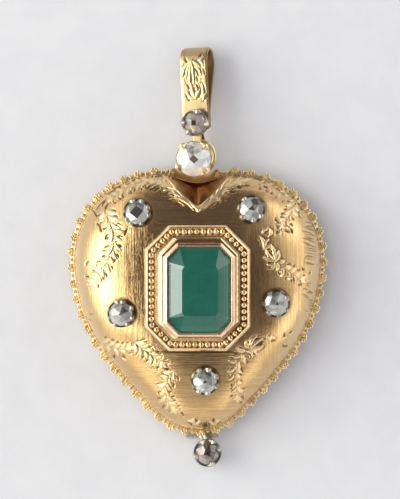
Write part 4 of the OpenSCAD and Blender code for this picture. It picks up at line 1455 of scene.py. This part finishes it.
def top_setting():
    """A ring of wire, a post turned about an upright line, and the cup with its claws."""
    circle = direction(np.arange(RING_COLUMNS) / RING_COLUMNS * 360)
    level = np.full(RING_COLUMNS, SEAM_Z)
    ring = wire(np.c_[circle * RING_R + (RING_X, RING_Y), level], WIRE_R, sides=12)
    post = np.array([np.c_[circle * radius + (RING_X, RING_Y - RING_R), level + height]
                     for height, radius in POST])
    cup, darkening = claw_collet(CUP_SECTION, TOP_CLAWS, width=13, out=0.3, up=0.56, over=0.42,
                            columns=144)
    shape = joined([ring, grid_shape(post, capped=True), placed(cup, shift(TOP_X, TOP_Y, 0))])
    cut = np.zeros(len(shape[0]))
    cut[:len(ring[0])] = RING_DIRT
    cut[-len(darkening):] = darkening * CUP_DIRT
    make("top_collet_and_ring", shape, BORDER_GOLD, nodes=["top_setting"], slot="border_gold",
         cut=cut)
    stone, tone = rose_cut(TOP_R, TOP_H, seed=40, table=4, table_r=0.26, middle=8,
                           start=88, dark=100)
    make("rose_cut_top", placed(stone, shift(TOP_X, TOP_Y, CUP_HIGH - 0.14)), WHITE_DIAMOND,
         nodes=["top_diamond"], slot="diamond", crease=0, tone=tone**2)


top_setting()

# %% [markdown]
# ## The bail
#
# The bail is a strap bent into a long drop: a wide bend at the top for the chain, and a narrow eye
# round the ring below. Its outline from the side is two circles and the two lines that touch both,
# so a point is found by the way along it, and the strap's thickness goes inwards along the normal.
# The line at the back closes up to the front one above the eye. Near the eye the strap narrows to a
# tongue. The whole bail rides on its own body, so it swings.

# %% Bail path
STRAP_W, STRAP_T = 3.2, 0.36
# The distance between the middles of bend and eye, their radii, and the eye's outside
BAIL_L, BEND_R, EYE_R = 8.85, 1.9, 0.66
EYE_OUT = EYE_R + STRAP_T
# Degrees by which the bail is turned about its own length and leans to the left
BAIL_TWIST, BAIL_LEAN = 14.0, 1.5
TONGUE_W, TONGUE_L = 1.0, 1.3
# As shares of the back line, which runs from the bend to the eye: it reaches the front strap at
# CLOSED_FROM and leaves it again within CLOSED_TO
CLOSED_FROM, CLOSED_TO, CLOSING = 0.62, (0.8, 0.98), 1.3
strap_rise = math.asin((BEND_R - EYE_OUT) / BAIL_L)
bail_drop = math.asin((SEAM_Z - BEND_R * math.cos(math.radians(BAIL_TWIST))
                       - STRAP_W / 2 * math.sin(math.radians(BAIL_TWIST)) - GAP) / BAIL_L)
at_bail = (shift(RING_X, RING_Y + RING_R, SEAM_Z) @ turn("z", BAIL_LEAN)
           @ turn("x", -math.degrees(bail_drop)) @ turn("y", -BAIL_TWIST))


def strap_path(front, bend, back, eye):
    """Rows of (along, up, normal along, normal up) round the drop: the front line from the eye to
    the bend, the bend, the back line and the eye. The numbers are rows for each stretch. The back
    line closes up to the front strap above the eye, by the room between them times a share, and
    the normals are square to the step from each row's neighbour to the next."""
    tilt = math.pi / 2 + strap_rise
    at_bend = np.array([BAIL_L, 0])
    upper, lower = np.array([[math.cos(tilt), side * math.sin(tilt)] for side in (1, -1)])
    line = np.linspace(0, 1, front, endpoint=False)[:, None]
    rows = [mix(EYE_OUT * upper, at_bend + BEND_R * upper, line)]
    a = np.linspace(tilt, -tilt, bend, endpoint=False)
    rows.append(at_bend + BEND_R * np.c_[np.cos(a), np.sin(a)])
    line = np.linspace(0, 1, back, endpoint=False)
    room = 2 * (mix(BEND_R, EYE_OUT, line) - STRAP_T) - GAP
    closed = np.clip(line / CLOSED_FROM, 0, 1) ** CLOSING * (1 - smooth(line, *CLOSED_TO))
    rows.append(mix(at_bend + BEND_R * lower, EYE_OUT * lower, line[:, None])
                + np.c_[0 * line, room * closed])
    a = np.linspace(-tilt, tilt - TURN, eye, endpoint=False)
    rows.append(EYE_OUT * np.c_[np.cos(a), np.sin(a)])
    path = np.concatenate(rows)
    lead = np.roll(path, -1, axis=0) - np.roll(path, 1, axis=0)
    lead /= np.hypot(*lead.T)[:, None]
    return np.c_[path, -lead[:, 1], lead[:, 0]]


# %% [markdown]
# The engraving of the bail: a palmette that hangs from the bend, curved leaves that rise to meet it
# from below, a small fan in the upper right corner, and a fine line along each edge. Its chart is
# drawn on the strap seen from the front: x across it, y up from the eye. The same strokes as on the
# heart are used, on the flat strap before it is bent.

# %% Chart of the bail's engraving
BAIL_FANS = [
    # the palmette that hangs from the bend, and the fan in the corner
    (-0.22, 9.3, [(-119, 2.3, -0.25), (-108, 2.4, -0.12), (-97, 2.9, -0.06), (-87, 3.0, 0.06),
                  (-62, 2.5, 0.2), (-44, 1.5, 0.12)], 0.36),
    (0.55, 9.3, [(-58, 1.1, 0.2), (60, 0.9, -0.3), (35, 1.0, -0.2)], 0.34),
    # the leaves that rise from below
    (0.1, 4.75, [(104, 2.0, 0.12), (62, 1.1, 0.1), (140, 1.3, 0.2)], 0.62),
    (0.95, 4.5, [(92, 2.2, -0.1), (66, 1.0, 0.1)], 0.4),
]
bail_marks = [stroke for chart in BAIL_FANS for stroke in fan(*chart)]
bail_marks += marks(
    (-0.97, 6.7, -62, 1.9), (0.2, 6.5, -60, 0.7), (0.45, 6.0, -96, 1.1), (-1.05, 5.3, -62, 0.9),
    (1.15, 8.3, -80, 0.9), (-1.0, 9.6, -70, 0.8), (-1.1, 8.8, -85, 0.7), (0.3, 7.4, -80, 0.7),
)
# A fine line along each edge, in three lengths that run on from each other
bail_marks += [(side * 1.45, y, 90, 2.4, 0.14, 0.0, -0.06)
               for side in (-1, 1) for y in (3.9, 6.1, 8.3)]
print("strokes on the bail:", len(bail_marks))

# %% [markdown]
# The strap is a grid: along it the rows of the path, and across it first the outer side and then
# the inner one. The relief only changes how deep a point lies under the path.

# %% Make the bail
OUTER_POINTS, INNER_POINTS = 49, 25
# The strap's front lies so much under the path, which leaves room for the leaves, and its edges
# are bevelled by so much
STRAP_SUNK, STRAP_BEVEL = 0.06, 0.09
# The relief is weaker than on the heart: the shares of its height and depth
BAIL_HEIGHT, BAIL_DEPTH = 0.6, 0.5
# The strap is darker towards the bend, along these places, and painted shade darkens the inside
# of the loop
BEND_DARKENING, BEND_DARKENING_Y, LOOP_SHADE = 0.45, (8.9, 10.6), 0.7


def bail():
    """Points at path - depth x normal, with depth 0 outside and STRAP_T inside."""
    path = strap_path(front=150, bend=64, back=60, eye=40)
    across = np.r_[np.linspace(-1, 1, OUTER_POINTS), np.linspace(1, -1, INNER_POINTS)]
    outer = np.arange(len(across)) < OUTER_POINTS
    widening = smooth(path[:, 0], TONGUE_L - 0.1, TONGUE_L + 0.35)
    x = mix(TONGUE_W, STRAP_W, widening)[:, None] / 2 * across[None]
    y = path[:, None, 0] * np.ones_like(x)
    bevel = STRAP_BEVEL * smooth(np.abs(across), 0.9, 1.0)
    front = (path[:, 3] > 0.05)[:, None] & outer[None]
    high, deep = (np.where(front, relief.reshape(x.shape), 0)
                  for relief in stroke_relief(x.reshape(-1), y.reshape(-1), bail_marks))
    depth = np.where(outer, bevel, STRAP_T - bevel)[None] + np.where(front, STRAP_SUNK, 0)
    depth = depth - high * BAIL_HEIGHT + deep * BAIL_DEPTH
    place = path[:, None, :2] - depth[..., None] * path[:, None, 2:]
    shape = grid_shape(np.concatenate([x[..., None], place], axis=-1), round_rows=True)
    # Engraving dirt in the cuts and a darkening towards the bend; the inside of the loop is painted
    # shade
    darkening = deep / CUT_DEPTH + BEND_DARKENING * smooth(y, *BEND_DARKENING_Y)
    darkening = np.where(outer[None], darkening, LOOP_SHADE)
    make("engraved_bail", placed(shape, at_bail), BAIL_GOLD, body="bail", nodes=["bail"],
         slot="bail_gold", crease=45, cut=darkening.reshape(-1))


bail()

# %% [markdown]
# The stone on the bail is a small, brownish rose cut in a silver collet with four round claws. Its
# place is a product of three matrices: the bail's, the slope of the strap, and the way along it.

# %% Bail stone
BAIL_STONE_R, BAIL_STONE_H, BAIL_STONE_Y, BAIL_STONE_Z = 1.32, 0.72, 2.2, 0.54
# Columns as for the small collets
BAIL_SECTION = [
    (1.3, 0.0, 0, 0, 0), (1.5, 0.02, 0.2, 0, 0), (1.54, 0.3, 0.8, 0.1, 0), (1.53, 0.6, 1, 0.7, 0.1),
    (1.48, 0.72, 0.8, 1, 0.4), (1.38, 0.72, 0.3, 1, 0.9), (1.32, 0.66, 0, 0.7, 1),
    (1.33, 0.5, 0, 0, 0), (1.2, 0.02, 0, 0, 0),
]
on_strap = at_bail @ turn("x", math.degrees(strap_rise)) @ shift(0, BAIL_STONE_Y, EYE_OUT + GAP)
wall, darkening = claw_collet(BAIL_SECTION, [72, 176, 233, 352], width=15, out=0.15, up=0.36, over=0.3)
make("silver_collet_bail", placed(wall, on_strap), SILVER, body="bail", nodes=["bail_collet"],
     slot="silver", cut=darkening)
stone, tone = rose_cut(BAIL_STONE_R, BAIL_STONE_H, seed=52, table=4, table_r=0.3, middle=6,
                       start=40, dark=130)
make("rose_cut_bail", placed(stone, on_strap @ shift(0, 0, BAIL_STONE_Z)), BROWN_DIAMOND,
     body="bail", nodes=["bail_diamond"], slot="brown_diamond", crease=0, tone=tone)

# %% [markdown]
# ## The drop under the tip
#
# Three silver leaves are soldered under the tip, and the middle one holds the collet of the last
# diamond, which has five claws. A leaf is a closed section, flat below and arched above with a
# furrow for its vein, carried along a line while its width follows a sine. A flat leaf with a
# Solidify modifier would be quicker, but it would have no vein and a blunt edge.

# %% The drop's measures
DROP_X, DROP_Y, DROP_R, DROP_H, DROP_FOOT, DROP_STONE_Z = 1.15, -18.95, 1.36, 0.76, 1.7, 1.19
# The stone is dark all over: its lightest facet has this tone
DROP_TONE = 0.3
# The thickness of a leaf, and of the border under which the leaves are soldered
LEAF_T, BORDER_T = 0.45, 0.8
leaf_low = SEAM_Z - BORDER_T / 2 - GAP - LEAF_T
# Columns: foot in x and y, heading, length, width
LEAVES = [(0.8, -16.55, 193, 2.4, 1.0), (0.1, -16.6, -11, 2.4, 1.0), (0.25, -16.1, -68, 1.9, 1.2)]
LEAF_ROWS, LEAF_COLUMNS = 14, 16
VEIN_DEPTH, VEIN_W, LEAF_DIRT = 0.35, 0.25, 0.2
# Columns as for the small collets
DROP_SECTION = [
    (1.2, 0.0, 0, 0, 0), (1.35, 0.02, 0, 0, 0), (1.5, 0.4, 0.2, 0, 0), (1.6, 0.95, 0.8, 0.1, 0),
    (1.6, 1.2, 1, 0.7, 0.1), (1.54, 1.34, 0.8, 1, 0.4), (1.42, 1.34, 0.3, 1, 0.9),
    (1.36, 1.26, 0, 0.7, 1), (1.37, 1.1, 0, 0, 0), (1.1, 0.02, 0, 0, 0),
]

# %% [markdown]
# Each part of the drop is turned to face outwards before they are joined, because the test that
# turns a whole shape can't tell one part from another.

# %% Make the drop
def leaf(length, width):
    """A leaf along +X whose half width is a sine of the way s. Round a section with the angle a,
    the height is the arch sin a above the middle, less a bell curve along the vein."""
    s = np.linspace(0.02, 0.98, LEAF_ROWS)[:, None]
    a = (np.arange(LEAF_COLUMNS) / LEAF_COLUMNS * TURN)[None]
    across = width / 2 * np.sin(np.pi * s) ** 0.8 * np.cos(a)
    arch = np.maximum(np.sin(a), 0) * (0.6 + 0.4 * np.sin(np.pi * s))
    vein = VEIN_DEPTH * np.exp(-((np.cos(a) / VEIN_W) ** 2)) * (np.sin(a) > 0)
    z = LEAF_T * np.clip(arch - vein * np.sin(np.pi * s), 0, 1)
    return grid_shape(np.stack([length * s * np.ones_like(z), across, z], axis=-1), capped=True)


def drop():
    """Three leaves and a collet in one piece, and the stone."""
    parts = [placed(leaf(l, w), shift(x, y, leaf_low) @ turn("z", h)) for x, y, h, l, w in LEAVES]
    wall, darkening = claw_collet(DROP_SECTION, [20, 64, 116, 199, 291], width=12, out=0.12, up=0.42,
                             over=0.34)
    parts.append(placed(wall, shift(DROP_X, DROP_Y, DROP_FOOT)))
    shape = joined([outward(part) for part in parts])
    cut = np.full(len(shape[0]), LEAF_DIRT)
    cut[-len(darkening):] = darkening
    make("silver_drop", shape, SILVER, nodes=["drop_setting"], slot="silver", cut=cut)
    stone, tone = rose_cut(DROP_R, DROP_H, seed=63, table=4, table_r=0.34, middle=6,
                           start=30, dark=60)
    make("rose_cut_drop", placed(stone, shift(DROP_X, DROP_Y, DROP_FOOT + DROP_STONE_Z)),
         BROWN_DIAMOND, nodes=["drop_diamond"], slot="brown_diamond", crease=0,
         tone=mix(DROP_TONE, 1, tone))


drop()

# %% [markdown]
# ## Table, light and camera
#
# The pendant lies on pale paper. A flat sheet of a few squares is enough for it, with a colour and
# a relief of fine fibres, and it is part of the stage, not of the jewel.

# %% Table
TABLE_HALF, TABLE_POINTS = 0.9, 41


def paper():
    """Matt bluish white with fibres."""
    f = Finish("paper", Roughness=0.9, Specular_IOR_Level=0.1)
    fibre = f.noise((0.25, 0.25, 0.25), 4.0, 0.6)
    tint = f.blend(fibre.clipped(0.3, 0.7), rgb(0.54, 0.545, 0.56), rgb(0.515, 0.52, 0.54))
    return f.output(Base_Color=tint, Normal=f.bump(fibre, 0.1, 0.05))


def table():
    """A square grid at height 0, in metres."""
    line = np.linspace(-TABLE_HALF, TABLE_HALF, TABLE_POINTS)
    x, y = np.meshgrid(line, line, indexing="ij")
    points = np.stack([x, y, np.zeros_like(x)], axis=-1).reshape(-1, 3)
    faces = grid_faces(TABLE_POINTS, TABLE_POINTS, round_columns=False)
    mesh = bpy.data.meshes.new("table")
    mesh.from_pydata(points.tolist(), [], faces.tolist())
    mesh.materials.append(paper())
    floor = bpy.data.objects.new("table", mesh)
    bpy.context.scene.collection.objects.link(floor)


table()

# %% [markdown]
# Polished metal is a picture of the room, so the light matters more than the metal. Two large soft
# panels on the left give the bright flank, weaker ones stand on the other sides, and one hangs
# nearly overhead to light the paper and what is matt. That one is hidden from reflections: in a
# mirror the room stays dark straight above, which is why the flat middle of the heart looks brown.

# %% Studio
AIM = np.array([0.0, 0.003, 0.003])
WARM, WHITE = (1.0, 0.985, 0.91), (1, 1, 1)
ROOM_COLOUR, ROOM_LIGHT = rgb(0.50, 0.44, 0.57), 0.22
# Columns: azimuth, elevation, distance, width, height, radiance, colour
PANELS = {
    "key": (179, 29, 0.8, 0.8, 0.85, 2.0, WARM),
    "key_core": (177, 35.5, 0.8, 0.68, 0.62, 3.0, WARM),
    "left_low": (222, 9, 0.85, 0.8, 0.6, 1.25, WARM),
    "back_low": (134, 17, 0.85, 0.6, 0.58, 1.25, WARM),
    "right": (12, 11, 0.8, 1.7, 0.6, 1.2, WHITE),
    "right_high": (16, 46, 0.8, 0.6, 0.5, 0.55, WHITE),
    "right_back": (41, 24, 0.85, 0.5, 0.6, 0.8, WHITE),
    "front": (262, 40, 0.8, 1.05, 0.9, 0.48, WHITE),
    "back_high": (140, 38, 0.85, 0.3, 0.3, 0.6, WHITE),
    "front_low": (275, 8, 0.85, 1.3, 0.4, 0.65, WHITE),
    "front_right": (320, 17, 0.85, 0.65, 0.6, 0.75, WHITE),
    "overhead": (150, 77, 0.8, 0.75, 0.75, 2.2, WHITE),
}
UNSEEN_PANEL = "overhead"


def panel(name, azimuth, elevation, distance, width, height, radiance, colour):
    """A soft panel that looks at the pendant. Azimuth 0 is to the right (+X), 90 above in the
    picture (+Y). An area light of power P and area A has the radiance P / (pi A)."""
    a, e = math.radians(azimuth), math.radians(elevation)
    back = np.array([math.cos(a) * math.cos(e), math.sin(a) * math.cos(e), math.sin(e)])
    light = bpy.data.lights.new(name, "AREA")
    light.shape = "RECTANGLE"
    light.size, light.size_y = width, height
    light.energy, light.color = radiance * math.pi * width * height, colour
    lamp = bpy.data.objects.new(name, light)
    lamp.location = AIM + back * distance
    lamp.rotation_euler = (math.pi / 2 - e, 0, a + math.pi / 2)
    lamp.visible_glossy = name != UNSEEN_PANEL
    bpy.context.scene.collection.objects.link(lamp)


for name, row in PANELS.items():
    panel(name, *row)

world = bpy.data.worlds.new("room")
world.use_nodes = True
room = world.node_tree.nodes["Background"].inputs
room["Color"].default_value = ROOM_COLOUR
room["Strength"].default_value = ROOM_LIGHT
bpy.context.scene.world = world
bpy.context.scene.view_settings.view_transform = "Standard"
print("panels:", len(PANELS))

# %% [markdown]
# The camera looks straight down from a little over a metre, as on a copy stand. A long lens from
# far away keeps the sides of the heart out of sight. One pixel of the picture is PIXEL millimetres
# at the seam of the heart, and the lens follows from that.

# %% Camera
PIXEL, PICTURE_W = 0.115, 400
CAMERA_H, SENSOR = 1200.0, 36.0
MIDDLE = (0.29, 4.43)

camera_data = bpy.data.cameras.new("camera")
camera_data.sensor_fit = "HORIZONTAL"
camera_data.sensor_width = SENSOR
camera_data.lens = SENSOR * (CAMERA_H - SEAM_Z) / (PIXEL * PICTURE_W)
camera = bpy.data.objects.new("camera", camera_data)
camera.location = (MIDDLE[0] * MM, MIDDLE[1] * MM, CAMERA_H * MM)
bpy.context.scene.collection.objects.link(camera)
bpy.context.scene.camera = camera
print(f"lens: {camera_data.lens:.0f} mm")

# %% [markdown]
# ## The end
#
# The last call brings the scene up to date.

# %% Update
bpy.context.view_layer.update()
